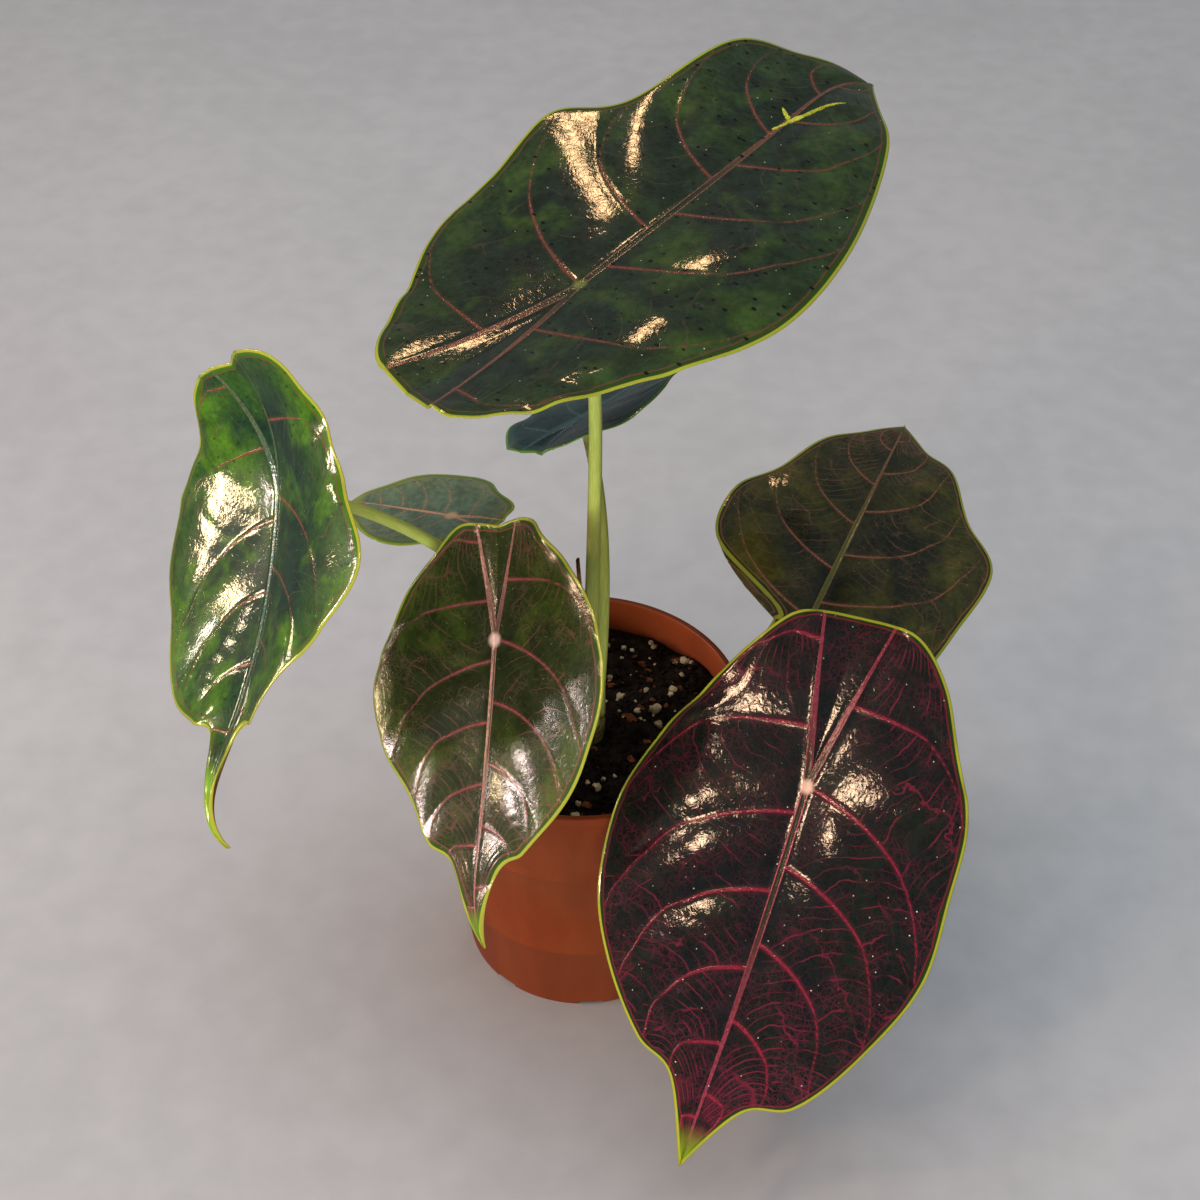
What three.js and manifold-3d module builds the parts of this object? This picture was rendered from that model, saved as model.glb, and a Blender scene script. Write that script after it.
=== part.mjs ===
// Potted jewel aroid: seven quilted, veined leaves on two shoots in a nursery pot.
// Millimetres, +Z up. The origin is the centre of the pot's flat underside, +Y points away
// from the viewer who sees the two large drooping leaves in front.
import * as THREE from 'three';
import { mergeVertices } from 'three/addons/utils/BufferGeometryUtils.js';
import Module from 'manifold-3d';

const wasm = await Module();
wasm.setup();

// Driving dimensions of the pot, a standard 12 cm nursery pot
const POT_HEIGHT = 120;
const RIM_RADIUS = 60;
const FOOT_RADIUS = 45.5;
const COLLAR_HEIGHT = 29;
const COLLAR_STEP = 1.8;
const LIP_HEIGHT = 3.6;
const LIP_STAND = 0.7;
const POT_WALL = 1.8;
const POT_FLOOR = 2;
const POT_EDGE = 0.6;
const POT_SIDES = 56;
const FOOT_SLOT = { count: 8, width: 9, height: 1.6, depth: 6, firstAngle: 229 };

// Potting mix, its crumbs and the two short stems that stand in it
const CLEARANCE = 0.3;
const MIX_SURFACE = 105;
const MIX_SIDES = 40;
const MIX_RINGS = 9;
const MIX_BUMP = 1.1;
const MIX_WAVES = { x: 6.1, y: 5.3, slant: 9.7 };
const CRUMB = { count: 38, seed: 20, least: 1.7, spread: 1.3, width: 0.8, height: 0.7 };
const MAIN_SHOOT = { x: 0, y: 0, radius: 9.2, top: 112, bottom: 78 };
const OFFSET_SHOOT = { x: 36, y: -20, radius: 7, top: 111, bottom: 84 };
const SHOOT_SIDES = 20;
const SHOOT_TAPER = { width: 0.7, height: 4, shoulder: 0.5 };

// Leaf stalks
const STALK_SIDES = 10;
const STALK_STEPS = 14;
const STALK_RING = 5.7;
const STALK_PAIR = 3.4;

// Blade section and relief
const BLADE_THICKNESS = 0.8;
const MIDRIB_RISE = 0.7;
const MIDRIB_KEEL = 0.9;
const RIB_FADE = { tip: 4, rear: 2.5 };
const QUILT_RISE = 1.6;
const HALF_SPAN = 50;
const CURL_START = 0.7;
const WAVE_FADE = 40;
const FULL_QUILT_LENGTH = 110;

// Veins: laterals along the front midrib and along each rear rib, per side
const FRONT_LATERALS = 5;
const REAR_LATERALS = 2;
const STEPS_PER_LATERAL = 3;
const RIGHT_SHIFT = 1 / 3;
const COLUMNS = [0, 0.07, 0.28, 0.52, 0.76, 1];
const SPINE_STEPS = 48;

// Margin stations: bearings from the tip, seen from the stalk, for the radii in each leaf.
// Laterals from the stalk point reach the margin at station FRONT_STATION, and the rear rib
// ends at station RIB_STATION.
const BEARINGS = [0, 7, 16, 30, 48, 70, 95, 120, 143, 161, 180];
const FRONT_STATION = 4.2;
const RIB_STATION = 9.35;
const SEAM_STATION = BEARINGS.length - 1;

// A lateral leaves the midrib squarely and bends forward: its handle, as shares of the way
const LATERAL_HANDLE = { along: 0.15, across: 0.7 };

// Each leaf: attachment is where the stalk meets the blade. heading, pitch and roll turn the
// midrib; arch, rearArch, sweep, twist, curl and sideCurl bend it, in degrees over its length.
// lift and droop shape the two halves, and left and right are the margin radii. stalk gives
// its foot and the reach of its first and last stretch. wave is the margin's rise and count.
const LEAVES = [
  {
    name: 'top', attachment: [1, -2, 301],
    heading: 44, pitch: 13, roll: -10, arch: 15, rearArch: -16,
    sweep: 16, twist: 25, curl: 26, sideCurl: -28,
    lift: [12, 7], droop: [8, 23], rearLift: [0, 5],
    left: [160, 143, 133, 92, 87, 66, 63, 57, 61, 69, 71],
    right: [160, 142, 121, 96, 79, 68, 61, 60, 71, 79, 71],
    wave: [1.2, 3],
    stalk: { shoot: 'main', angle: 306, lean: [0, 0, 80], reach: 28, foot: 3.1, head: 2.1 },
  },
  {
    name: 'left', attachment: [-101, -4, 220],
    heading: -92, pitch: -48, roll: 61, arch: -32, rearArch: -52,
    sweep: 7, twist: 1, curl: 78, sideCurl: 22,
    lift: [11, 18], droop: [24, 1], rearLift: [-4, 3],
    left: [123, 84, 82, 71, 72, 72, 52, 49, 57, 55, 48],
    right: [123, 86, 84, 84, 72, 67, 55, 47, 50, 53, 48],
    wave: [1, 3],
    stalk: { shoot: 'main', angle: 162, lean: [-8, 2, 60], reach: 40, foot: 3, head: 2 },
  },
  {
    name: 'small', attachment: [-47, 36, 178],
    heading: 149, pitch: -13, roll: 1, arch: 7, rearArch: 10,
    sweep: -4, twist: -10, curl: 2, sideCurl: -2,
    lift: [9, 9], droop: [16, 16], rearLift: [2, 1],
    left: [51, 47, 40, 34, 29, 25, 22, 20, 23, 22, 18],
    right: [51, 47, 40, 34, 29, 25, 23, 20, 23, 22, 18],
    wave: [0.5, 2],
    stalk: { shoot: 'main', angle: 90, lean: [-4, 8, 34], reach: 22, foot: 2.6, head: 1.5 },
  },
  {
    name: 'front', attachment: [-28, -35, 182],
    heading: -94, pitch: -41, roll: 28, arch: 6, rearArch: -8,
    sweep: -8, twist: -1, curl: 17, sideCurl: 26,
    lift: [12, 8], droop: [12, 14], rearLift: [4, -1],
    left: [104, 77, 72, 64, 56, 50, 44, 40, 40, 43, 39],
    right: [104, 78, 73, 62, 57, 53, 45, 40, 39, 42, 39],
    wave: [0.8, 3],
    stalk: { shoot: 'main', angle: 234, lean: [-3, -4, 34], reach: 26, foot: 3, head: 1.9 },
  },
  {
    name: 'large', attachment: [77, -67, 144],
    heading: -114, pitch: -42, roll: 0, arch: 17, rearArch: 8,
    sweep: -6, twist: -8, curl: -10, sideCurl: 3,
    lift: [7, 7], droop: [20, 15], rearLift: [1, -2],
    left: [138, 113, 108, 91, 76, 60, 55, 52, 58, 63, 61],
    right: [138, 110, 104, 93, 80, 67, 55, 50, 54, 61, 61],
    wave: [1, 3],
    stalk: { shoot: 'offset', angle: 250, lean: [8, -8, 22], reach: 18, foot: 3.1, head: 2.3 },
  },
  {
    name: 'rear', attachment: [85, 22, 141],
    heading: 62, pitch: 22, roll: 10, arch: 30, rearArch: 10,
    sweep: 3, twist: -2, curl: 8, sideCurl: 4,
    lift: [8, 6], droop: [18, 17], rearLift: [1, 0],
    left: [114, 100, 90, 71, 65, 48, 13, 14, 22, 31, 38],
    right: [114, 99, 93, 78, 73, 54, 46, 45, 46, 45, 38],
    wave: [1, 3],
    stalk: { shoot: 'offset', angle: 70, lean: [8, 6, 16], reach: 18, foot: 3.1, head: 2.1 },
  },
  {
    name: 'young', attachment: [1, 41, 219],
    heading: 45, pitch: 1, roll: -20, arch: 4, rearArch: 10,
    sweep: 5, twist: -14, curl: 5, sideCurl: 0,
    lift: [1, 12], droop: [24, 13], rearLift: [5, 3],
    left: [58, 50, 45, 39, 33, 29, 27, 29, 29, 28, 24],
    right: [58, 50, 45, 39, 33, 29, 27, 27, 28, 28, 24],
    wave: [0.7, 3],
    stalk: { shoot: 'main', angle: 18, lean: [4, 6, 52], reach: 34, foot: 3, head: 2 },
  },
];

// Dry cataphyll: the papery sheath that stands beside the top leaf's stalk
const CATAPHYLL = {
  bottom: 36,
  top: 78,
  facing: 172,
  halfAngle: 70,
  taper: 0.85,
  flare: 1.6,
  thickness: 0.8,
  steps: 8,
  sides: 6,
};

const COLOURS = {
  pot: { color: 0x96502e, roughness: 0.62 },
  mix: { color: 0x1d1612, roughness: 0.95 },
  blade: { color: 0x1d3a2c, roughness: 0.3 },
  stalk: { color: 0x8f9a3c, roughness: 0.45 },
  shoot: { color: 0x6d6a33, roughness: 0.6 },
  cataphyll: { color: 0x6b4a2a, roughness: 0.85 },
};

const radians = THREE.MathUtils.degToRad;
const smooth = (x) => THREE.MathUtils.smoothstep(x, 0, 1);
const MERGE_DISTANCE = 1e-4;

// Merges shared vertices, so that only position is left, and turns the faces outward.
function closed(geometry) {
  geometry.deleteAttribute('normal');
  geometry.deleteAttribute('uv');
  const merged = mergeVertices(geometry, MERGE_DISTANCE);
  const place = merged.getAttribute('position');
  const index = merged.getIndex();
  const [a, b, c] = [new THREE.Vector3(), new THREE.Vector3(), new THREE.Vector3()];
  const kept = [];
  let volume = 0;
  for (let i = 0; i < index.count; i += 3) {
    const corners = [index.getX(i), index.getX(i + 1), index.getX(i + 2)];
    if (new Set(corners).size < 3) continue;
    a.fromBufferAttribute(place, corners[0]);
    b.fromBufferAttribute(place, corners[1]);
    c.fromBufferAttribute(place, corners[2]);
    volume += a.dot(b.cross(c));
    kept.push(corners);
  }
  merged.setIndex(kept.flatMap(([p, q, r]) => (volume < 0 ? [p, r, q] : [p, q, r])));
  return merged;
}

function toSolid(geometry) {
  const merged = closed(geometry);
  const vertProperties = new Float32Array(merged.getAttribute('position').array);
  const triVerts = new Uint32Array(merged.getIndex().array);
  return new wasm.Manifold(new wasm.Mesh({ numProp: 3, vertProperties, triVerts }));
}

function fromSolid(solid) {
  const mesh = solid.getMesh();
  const geometry = new THREE.BufferGeometry();
  geometry.setAttribute('position', new THREE.BufferAttribute(mesh.vertProperties, 3));
  geometry.setIndex(new THREE.BufferAttribute(mesh.triVerts, 1));
  return geometry;
}

// A solid of revolution about +Z from a profile of [radius, height] points.
function turned(profile, sides) {
  const points = profile.map(([radius, height]) => new THREE.Vector2(radius, height));
  return new THREE.LatheGeometry(points, sides).rotateX(Math.PI / 2);
}

function meshOf(name, geometry, finish) {
  const material = new THREE.MeshStandardMaterial({ ...COLOURS[finish], metalness: 0 });
  const mesh = new THREE.Mesh(geometry, material);
  mesh.name = name;
  return mesh;
}

// Nursery pot
const COLLAR_BOTTOM = POT_HEIGHT - COLLAR_HEIGHT;
const COLLAR_RADIUS = RIM_RADIUS - LIP_STAND;
const BODY_TOP_RADIUS = COLLAR_RADIUS - COLLAR_STEP;
const INNER_COLLAR_RADIUS = COLLAR_RADIUS - POT_WALL;
const INNER_BODY_RADIUS = BODY_TOP_RADIUS - POT_WALL;

function buildPot() {
  const lipBottom = POT_HEIGHT - LIP_HEIGHT;
  const edge = POT_EDGE;
  const body = toSolid(turned([
    [0, 0],
    [FOOT_RADIUS - edge, 0],
    [FOOT_RADIUS, edge],
    [BODY_TOP_RADIUS, COLLAR_BOTTOM],
    [COLLAR_RADIUS - edge, COLLAR_BOTTOM],
    [COLLAR_RADIUS, COLLAR_BOTTOM + edge],
    [COLLAR_RADIUS, lipBottom],
    [RIM_RADIUS, lipBottom + edge],
    [RIM_RADIUS, POT_HEIGHT - edge],
    [RIM_RADIUS - edge, POT_HEIGHT],
    [INNER_COLLAR_RADIUS + edge, POT_HEIGHT],
    [INNER_COLLAR_RADIUS, POT_HEIGHT - edge],
    [INNER_COLLAR_RADIUS, COLLAR_BOTTOM + edge],
    [INNER_BODY_RADIUS, COLLAR_BOTTOM - COLLAR_STEP],
    [FOOT_RADIUS - POT_WALL, POT_FLOOR],
    [0, POT_FLOOR],
  ], POT_SIDES));
  let cut = body;
  for (let i = 0; i < FOOT_SLOT.count; i += 1) {
    const angle = radians(FOOT_SLOT.firstAngle + (360 / FOOT_SLOT.count) * i);
    const slot = new THREE.BoxGeometry(FOOT_SLOT.depth * 2, FOOT_SLOT.width, FOOT_SLOT.height * 2);
    slot.translate(FOOT_RADIUS, 0, 0).rotateZ(angle);
    cut = cut.subtract(toSolid(slot));
  }
  return fromSolid(cut);
}

// Potting mix
// Small steady draws, the same on every run.
function drawsFrom(seed) {
  let state = seed;
  return () => {
    state = (Math.imul(state, 1664525) + 1013904223) >>> 0;
    return state / 4294967296;
  };
}

function mixHeight(x, y) {
  const ripple = Math.sin(x / MIX_WAVES.x) * Math.cos(y / MIX_WAVES.y);
  return MIX_SURFACE + MIX_BUMP * (ripple + Math.sin((x - y) / MIX_WAVES.slant));
}

function crumb(x, y, size, turn) {
  const shape = new THREE.IcosahedronGeometry(size, 0);
  shape.scale(1, CRUMB.width, CRUMB.height).rotateX(turn).rotateZ(turn * 2);
  return shape.translate(x, y, mixHeight(x, y));
}

function shootHole(shoot) {
  const bottom = shoot.bottom - CLEARANCE;
  const length = POT_HEIGHT - bottom;
  const radius = shoot.radius + CLEARANCE;
  const hole = new THREE.CylinderGeometry(radius, radius, length, SHOOT_SIDES);
  return hole.rotateX(Math.PI / 2).translate(shoot.x, shoot.y, bottom + length / 2);
}

function buildMix() {
  const outer = INNER_COLLAR_RADIUS - CLEARANCE;
  const profile = [
    [0, POT_FLOOR + CLEARANCE],
    [FOOT_RADIUS - POT_WALL - CLEARANCE * 2, POT_FLOOR + CLEARANCE],
    [INNER_BODY_RADIUS - CLEARANCE * 2, COLLAR_BOTTOM - COLLAR_STEP],
    [outer, COLLAR_BOTTOM + POT_EDGE * 2],
  ];
  for (let i = 0; i <= MIX_RINGS; i += 1) {
    profile.push([outer * (1 - i / MIX_RINGS), MIX_SURFACE]);
  }
  const body = turned(profile, MIX_SIDES);
  const place = body.getAttribute('position');
  for (let i = 0; i < place.count; i += 1) {
    if (place.getZ(i) > MIX_SURFACE - 1) place.setZ(i, mixHeight(place.getX(i), place.getY(i)));
  }
  let mix = toSolid(body);
  const draw = drawsFrom(CRUMB.seed);
  for (let i = 0; i < CRUMB.count; i += 1) {
    const size = CRUMB.least + draw() * CRUMB.spread;
    const radius = (outer - size - CLEARANCE) * Math.sqrt(draw());
    const angle = draw() * Math.PI * 2;
    const shape = crumb(radius * Math.cos(angle), radius * Math.sin(angle), size, draw() * 3);
    mix = mix.add(toSolid(shape));
  }
  for (const shoot of [MAIN_SHOOT, OFFSET_SHOOT]) mix = mix.subtract(toSolid(shootHole(shoot)));
  return fromSolid(mix);
}

// Short stems that carry the stalks
function buildShoot({ x, y, radius, top, bottom }) {
  const { width, height, shoulder } = SHOOT_TAPER;
  const shape = turned([
    [0, bottom],
    [radius * width, bottom],
    [radius, bottom + height],
    [radius, top - shoulder],
    [radius - shoulder, top],
    [0, top],
  ], SHOOT_SIDES);
  return closed(shape.translate(x, y, 0));
}

// Leaf blade: a flat veined shape, bent along its midrib and across its halves
class Blade {
  constructor(spec) {
    this.spec = spec;
    this.length = spec.left[0];
    this.margins = [spec.left, spec.right].map((radii, k) => {
      const side = k === 0 ? 1 : -1;
      return new THREE.SplineCurve(radii.map((radius, i) => {
        const bearing = radians(BEARINGS[i]);
        return new THREE.Vector2(radius * Math.cos(bearing), side * radius * Math.sin(bearing));
      }));
    });
    const heading = radians(spec.heading);
    const pitch = radians(spec.pitch);
    const along = new THREE.Vector3(
      Math.cos(heading) * Math.cos(pitch),
      Math.sin(heading) * Math.cos(pitch),
      Math.sin(pitch),
    );
    const across = new THREE.Vector3(-Math.sin(heading), Math.cos(heading), 0);
    across.applyAxisAngle(along, radians(spec.roll));
    const start = { point: new THREE.Vector3(...spec.attachment), along, across };
    this.front = this.walk(start, this.length, 1);
    this.rear = this.walk(start, Math.max(...spec.left.slice(-2), ...spec.right.slice(-2)), -1);
  }

  // Frames along the bent midrib, from the stalk point towards the tip or the rear.
  walk(start, length, direction) {
    const { spec } = this;
    const forward = direction > 0;
    const step = length / SPINE_STEPS;
    const frames = [{ ...start, up: start.along.clone().cross(start.across) }];
    for (let i = 0; i < SPINE_STEPS; i += 1) {
      const last = frames[i];
      const past = Math.max(0, (i + 0.5) / SPINE_STEPS - CURL_START);
      const tail = (2 * past) / (1 - CURL_START) ** 2;
      const arch = forward ? spec.arch + spec.curl * tail : spec.rearArch;
      const turn = forward ? spec.sweep + spec.sideCurl * tail : 0;
      const twist = forward ? spec.twist : 0;
      const along = last.along.clone()
        .addScaledVector(last.up, -direction * radians(arch) / SPINE_STEPS)
        .addScaledVector(last.across, direction * radians(turn) / SPINE_STEPS)
        .normalize();
      const across = last.across.clone()
        .addScaledVector(last.up, direction * radians(twist) / SPINE_STEPS);
      across.addScaledVector(along, -across.dot(along)).normalize();
      const point = last.point.clone().addScaledVector(
        last.along.clone().add(along),
        direction * step / 2,
      );
      frames.push({ point, along, across, up: along.clone().cross(across) });
    }
    return { frames, length };
  }

  frameAt(u) {
    const { frames, length } = u >= 0 ? this.front : this.rear;
    const where = THREE.MathUtils.clamp(Math.abs(u) / length, 0, 1) * SPINE_STEPS;
    const i = Math.min(Math.floor(where), SPINE_STEPS - 1);
    const mix = (key) => frames[i][key].clone().lerp(frames[i + 1][key], where - i);
    return { point: mix('point'), across: mix('across'), up: mix('up') };
  }

  // Flat point (u along the midrib, v to the left) to its place in space.
  bend(u, v) {
    const { spec } = this;
    const { point, across, up } = this.frameAt(u);
    const k = v >= 0 ? 0 : 1;
    const side = Math.sign(v);
    const rearShare = smooth(0.5 - u / HALF_SPAN);
    const lift = radians(spec.lift[k] + rearShare * spec.rearLift[k]);
    const bow = radians(spec.droop[k]) / HALF_SPAN;
    const slope = lift - bow * Math.abs(v);
    const sideways = (Math.sin(lift) - Math.sin(slope)) / bow;
    const rise = (Math.cos(slope) - Math.cos(lift)) / bow;
    const normal = side === 0 ? up.clone().normalize()
      : up.clone().multiplyScalar(Math.cos(slope)).addScaledVector(across, -side * Math.sin(slope));
    point.addScaledVector(across, side * sideways).addScaledVector(up, rise);
    return { point, normal };
  }

  // Start of a lateral: s runs 0 at the tip, 1 at the stalk and 2 at the rear rib's end.
  spine(k, s) {
    if (s <= 1) return new THREE.Vector2(this.length * (1 - s), 0);
    return this.marginAt(k, RIB_STATION).multiplyScalar(s - 1);
  }

  marginAt(k, station) {
    return this.margins[k].getPoint(station / SEAM_STATION);
  }

  // A point on the lateral that starts at s: q runs 0 at the spine and 1 at the margin.
  lateral(k, s, q) {
    const start = this.spine(k, s);
    const station = s <= 1 ? FRONT_STATION * s
      : FRONT_STATION + (RIB_STATION - FRONT_STATION) * (s - 1);
    const end = this.marginAt(k, station);
    const handle = new THREE.Vector2(
      THREE.MathUtils.lerp(start.x, end.x, LATERAL_HANDLE.along),
      THREE.MathUtils.lerp(start.y, end.y, LATERAL_HANDLE.across),
    );
    return new THREE.QuadraticBezierCurve(start, handle, end).getPoint(q);
  }

  // Height of the quilted relief over the smooth blade; phase counts laterals.
  relief(k, phase, q, u) {
    const between = Math.abs(Math.sin(Math.PI * (phase + k * RIGHT_SHIFT)));
    const quilt = QUILT_RISE * Math.min(1, this.length / FULL_QUILT_LENGTH);
    const [rise, count] = this.spec.wave;
    const turns = (count * phase) / (FRONT_LATERALS + REAR_LATERALS);
    const wave = rise * q * q * Math.sin(2 * Math.PI * (turns + k * RIGHT_SHIFT));
    return quilt * between * Math.sin(Math.PI * q) + wave * smooth((this.length - u) / WAVE_FADE);
  }
}

// Gives a sheet of triangles its thickness, with both faces split alike and a closed rim.
function thicken(points, triangles) {
  const edges = new Map();
  for (const [a, b, c] of triangles) {
    for (const [from, to] of [[a, b], [b, c], [c, a]]) edges.set(`${from},${to}`, [from, to]);
  }
  const count = points.length;
  const index = [];
  for (const [a, b, c] of triangles) {
    index.push(a, b, c, a + count, c + count, b + count);
  }
  for (const [from, to] of edges.values()) {
    if (!edges.has(`${to},${from}`)) {
      index.push(to, from, from + count, to, from + count, to + count);
    }
  }
  const tops = points.flatMap(({ point, normal, above }) =>
    point.clone().addScaledVector(normal, above).toArray());
  const bottoms = points.flatMap(({ point, normal, below }) =>
    point.clone().addScaledVector(normal, -below).toArray());
  const geometry = new THREE.BufferGeometry();
  const places = new Float32Array([...tops, ...bottoms]);
  geometry.setAttribute('position', new THREE.BufferAttribute(places, 3));
  geometry.setIndex(index);
  return closed(geometry);
}

function buildBlade(spec) {
  const blade = new Blade(spec);
  const half = BLADE_THICKNESS / 2;
  const points = [];
  const triangles = [];
  const keyed = new Map();

  // Adds a vertex once; ridge is 1 on the midrib or a rear rib and 0 elsewhere.
  function vertex(key, flat, lift, ridge) {
    if (keyed.has(key)) return keyed.get(key);
    const { point, normal } = blade.bend(flat.x, flat.y);
    point.addScaledVector(normal, lift);
    points.push({
      point,
      normal,
      above: half + ridge * MIDRIB_RISE,
      below: half + ridge * MIDRIB_KEEL,
    });
    keyed.set(key, points.length - 1);
    return points.length - 1;
  }

  function quad(a, b, c, d, flip) {
    for (const [p, q, r] of [[a, b, c], [a, c, d]]) {
      if (p !== q && q !== r && r !== p) triangles.push(flip ? [p, r, q] : [p, q, r]);
    }
  }

  const frontRows = FRONT_LATERALS * STEPS_PER_LATERAL;
  const rows = frontRows + REAR_LATERALS * STEPS_PER_LATERAL;
  const sAt = (row) => (row <= frontRows ? row / frontRows
    : 1 + (row - frontRows) / (rows - frontRows));
  const ridgeAt = (s) => smooth(s * RIB_FADE.tip) * smooth((2 - s) * RIB_FADE.rear);

  for (const k of [0, 1]) {
    const grid = [];
    for (let row = 0; row <= rows; row += 1) {
      const s = sAt(row);
      const phase = row / STEPS_PER_LATERAL;
      grid.push(COLUMNS.map((q, i) => {
        const flat = blade.lateral(k, s, q);
        const lone = row === 0 ? 'tip' : `end ${k}`;
        const shared = row <= frontRows ? `rib ${row}` : `rib ${row} ${k}`;
        const key = row === 0 || row === rows ? lone : i === 0 ? shared : `${k} ${row} ${i}`;
        const onRib = i === 0 && row > 0 && row < rows;
        return vertex(key, flat, onRib ? 0 : blade.relief(k, phase, q, flat.x), onRib ? ridgeAt(s) : 0);
      }));
    }
    for (let row = 0; row < rows; row += 1) {
      for (let i = 0; i < COLUMNS.length - 1; i += 1) {
        quad(grid[row][i], grid[row][i + 1], grid[row + 1][i + 1], grid[row + 1][i], k === 1);
      }
    }
    // The narrow patch between the rear rib and the line down the middle of the rear lobes
    const patch = [grid.slice(frontRows).map((line) => line[0])];
    for (const station of [(RIB_STATION + SEAM_STATION) / 2, SEAM_STATION]) {
      const end = blade.marginAt(k, station);
      const name = station === SEAM_STATION ? 'seam' : `patch ${k}`;
      patch.push(grid.slice(frontRows).map((line, step) => {
        if (step === 0) return line[0];
        const flat = end.clone().multiplyScalar(step / (rows - frontRows));
        return vertex(`${name} ${step}`, flat, 0, 0);
      }));
    }
    for (let band = 0; band < 2; band += 1) {
      for (let step = 0; step < rows - frontRows; step += 1) {
        quad(patch[band][step], patch[band][step + 1], patch[band + 1][step + 1],
          patch[band + 1][step], k === 1);
      }
    }
  }
  return thicken(points, triangles);
}

// Leaf stalk: a tapered round stem bent along a curve from its shoot to the blade
function stalkCurve(spec) {
  const { stalk } = spec;
  const shoot = stalk.shoot === 'main' ? MAIN_SHOOT : OFFSET_SHOOT;
  const ring = stalk.shoot === 'main' ? STALK_RING : STALK_PAIR;
  const angle = radians(stalk.angle);
  const foot = new THREE.Vector3(
    shoot.x + ring * Math.cos(angle),
    shoot.y + ring * Math.sin(angle),
    shoot.top + CLEARANCE,
  );
  const { point, normal } = new Blade(spec).bend(0, 0);
  const head = point.addScaledVector(normal, -(BLADE_THICKNESS / 2 + MIDRIB_KEEL + CLEARANCE));
  return new THREE.CubicBezierCurve3(
    foot,
    foot.clone().add(new THREE.Vector3(...stalk.lean)),
    head.clone().addScaledVector(normal, -stalk.reach),
    head,
  );
}

function buildStalk(spec) {
  const curve = stalkCurve(spec);
  const { foot, head } = spec.stalk;
  const { normals, binormals } = curve.computeFrenetFrames(STALK_STEPS, false);
  const shape = new THREE.CylinderGeometry(1, 1, 1, STALK_SIDES, STALK_STEPS);
  const place = shape.getAttribute('position');
  for (let i = 0; i < place.count; i += 1) {
    const t = place.getY(i) + 0.5;
    const step = Math.round(t * STALK_STEPS);
    const radius = THREE.MathUtils.lerp(foot, head, Math.sqrt(t));
    const at = curve.getPointAt(t)
      .addScaledVector(normals[step], place.getX(i) * radius)
      .addScaledVector(binormals[step], place.getZ(i) * radius);
    place.setXYZ(i, at.x, at.y, t === 0 ? curve.v0.z : at.z);
  }
  return closed(shape);
}

// Dry cataphyll: a thin pointed shell that wraps one side of the top leaf's stalk
function buildCataphyll() {
  const { bottom, top, facing, halfAngle, taper, flare, thickness, steps, sides } = CATAPHYLL;
  const carrier = LEAVES.find(({ name }) => name === 'top');
  const curve = stalkCurve(carrier);
  const inner = carrier.stalk.foot + CLEARANCE;
  const points = [];
  const triangles = [];
  for (let step = 0; step <= steps; step += 1) {
    const share = step / steps;
    const height = THREE.MathUtils.lerp(bottom, top, share);
    const centre = curve.getPointAt(height / curve.getLength());
    const spread = halfAngle * (1 - share * taper);
    const radius = inner + thickness / 2 + flare * share * share;
    for (let i = 0; i <= sides; i += 1) {
      const angle = radians(facing + spread * ((2 * i) / sides - 1));
      const normal = new THREE.Vector3(Math.cos(angle), Math.sin(angle), 0);
      points.push({
        point: centre.clone().addScaledVector(normal, radius),
        normal,
        above: thickness / 2,
        below: thickness / 2,
      });
    }
  }
  const row = sides + 1;
  for (let step = 0; step < steps; step += 1) {
    for (let i = 0; i < sides; i += 1) {
      const a = step * row + i;
      triangles.push([a, a + 1, a + row + 1], [a, a + row + 1, a + row]);
    }
  }
  return thicken(points, triangles);
}

const plant = new THREE.Group();
plant.add(meshOf('pot', buildPot(), 'pot'));
plant.add(meshOf('potting_mix', buildMix(), 'mix'));
plant.add(meshOf('shoot_main', buildShoot(MAIN_SHOOT), 'shoot'));
plant.add(meshOf('shoot_offset', buildShoot(OFFSET_SHOOT), 'shoot'));
plant.add(meshOf('cataphyll', buildCataphyll(), 'cataphyll'));
for (const spec of LEAVES) {
  plant.add(meshOf(`stalk_${spec.name}`, buildStalk(spec), 'stalk'));
  plant.add(meshOf(`blade_${spec.name}`, buildBlade(spec), 'blade'));
}

export default plant;
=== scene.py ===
"""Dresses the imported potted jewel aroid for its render.

Every mesh is worked out in millimetres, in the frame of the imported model, and is turned into
metres when it becomes an object. The origin is the centre of the pot's underside, +Z is up and
+Y points away from the camera.
"""
import logging
import math
from dataclasses import dataclass
from enum import Enum

import bpy
import numpy as np
from mathutils import Matrix, Vector
from mathutils.bvhtree import BVHTree


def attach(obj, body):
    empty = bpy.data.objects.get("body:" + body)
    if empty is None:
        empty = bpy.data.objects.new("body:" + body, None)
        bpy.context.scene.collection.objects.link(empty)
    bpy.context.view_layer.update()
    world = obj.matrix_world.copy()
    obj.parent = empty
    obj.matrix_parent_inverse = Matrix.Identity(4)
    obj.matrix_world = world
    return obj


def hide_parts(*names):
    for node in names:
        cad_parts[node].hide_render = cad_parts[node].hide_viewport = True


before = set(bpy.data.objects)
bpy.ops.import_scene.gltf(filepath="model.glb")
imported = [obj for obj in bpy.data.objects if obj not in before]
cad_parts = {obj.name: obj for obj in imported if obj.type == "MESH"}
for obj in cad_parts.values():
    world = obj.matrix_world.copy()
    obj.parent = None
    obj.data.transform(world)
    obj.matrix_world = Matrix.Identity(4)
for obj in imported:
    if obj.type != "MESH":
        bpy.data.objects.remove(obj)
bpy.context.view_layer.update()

LOG = logging.getLogger("plant")
MM = 0.001
BODY = "root"
FAR = 1e3
TINY = 1e-6
FULL_TURN = 6.283

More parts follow.
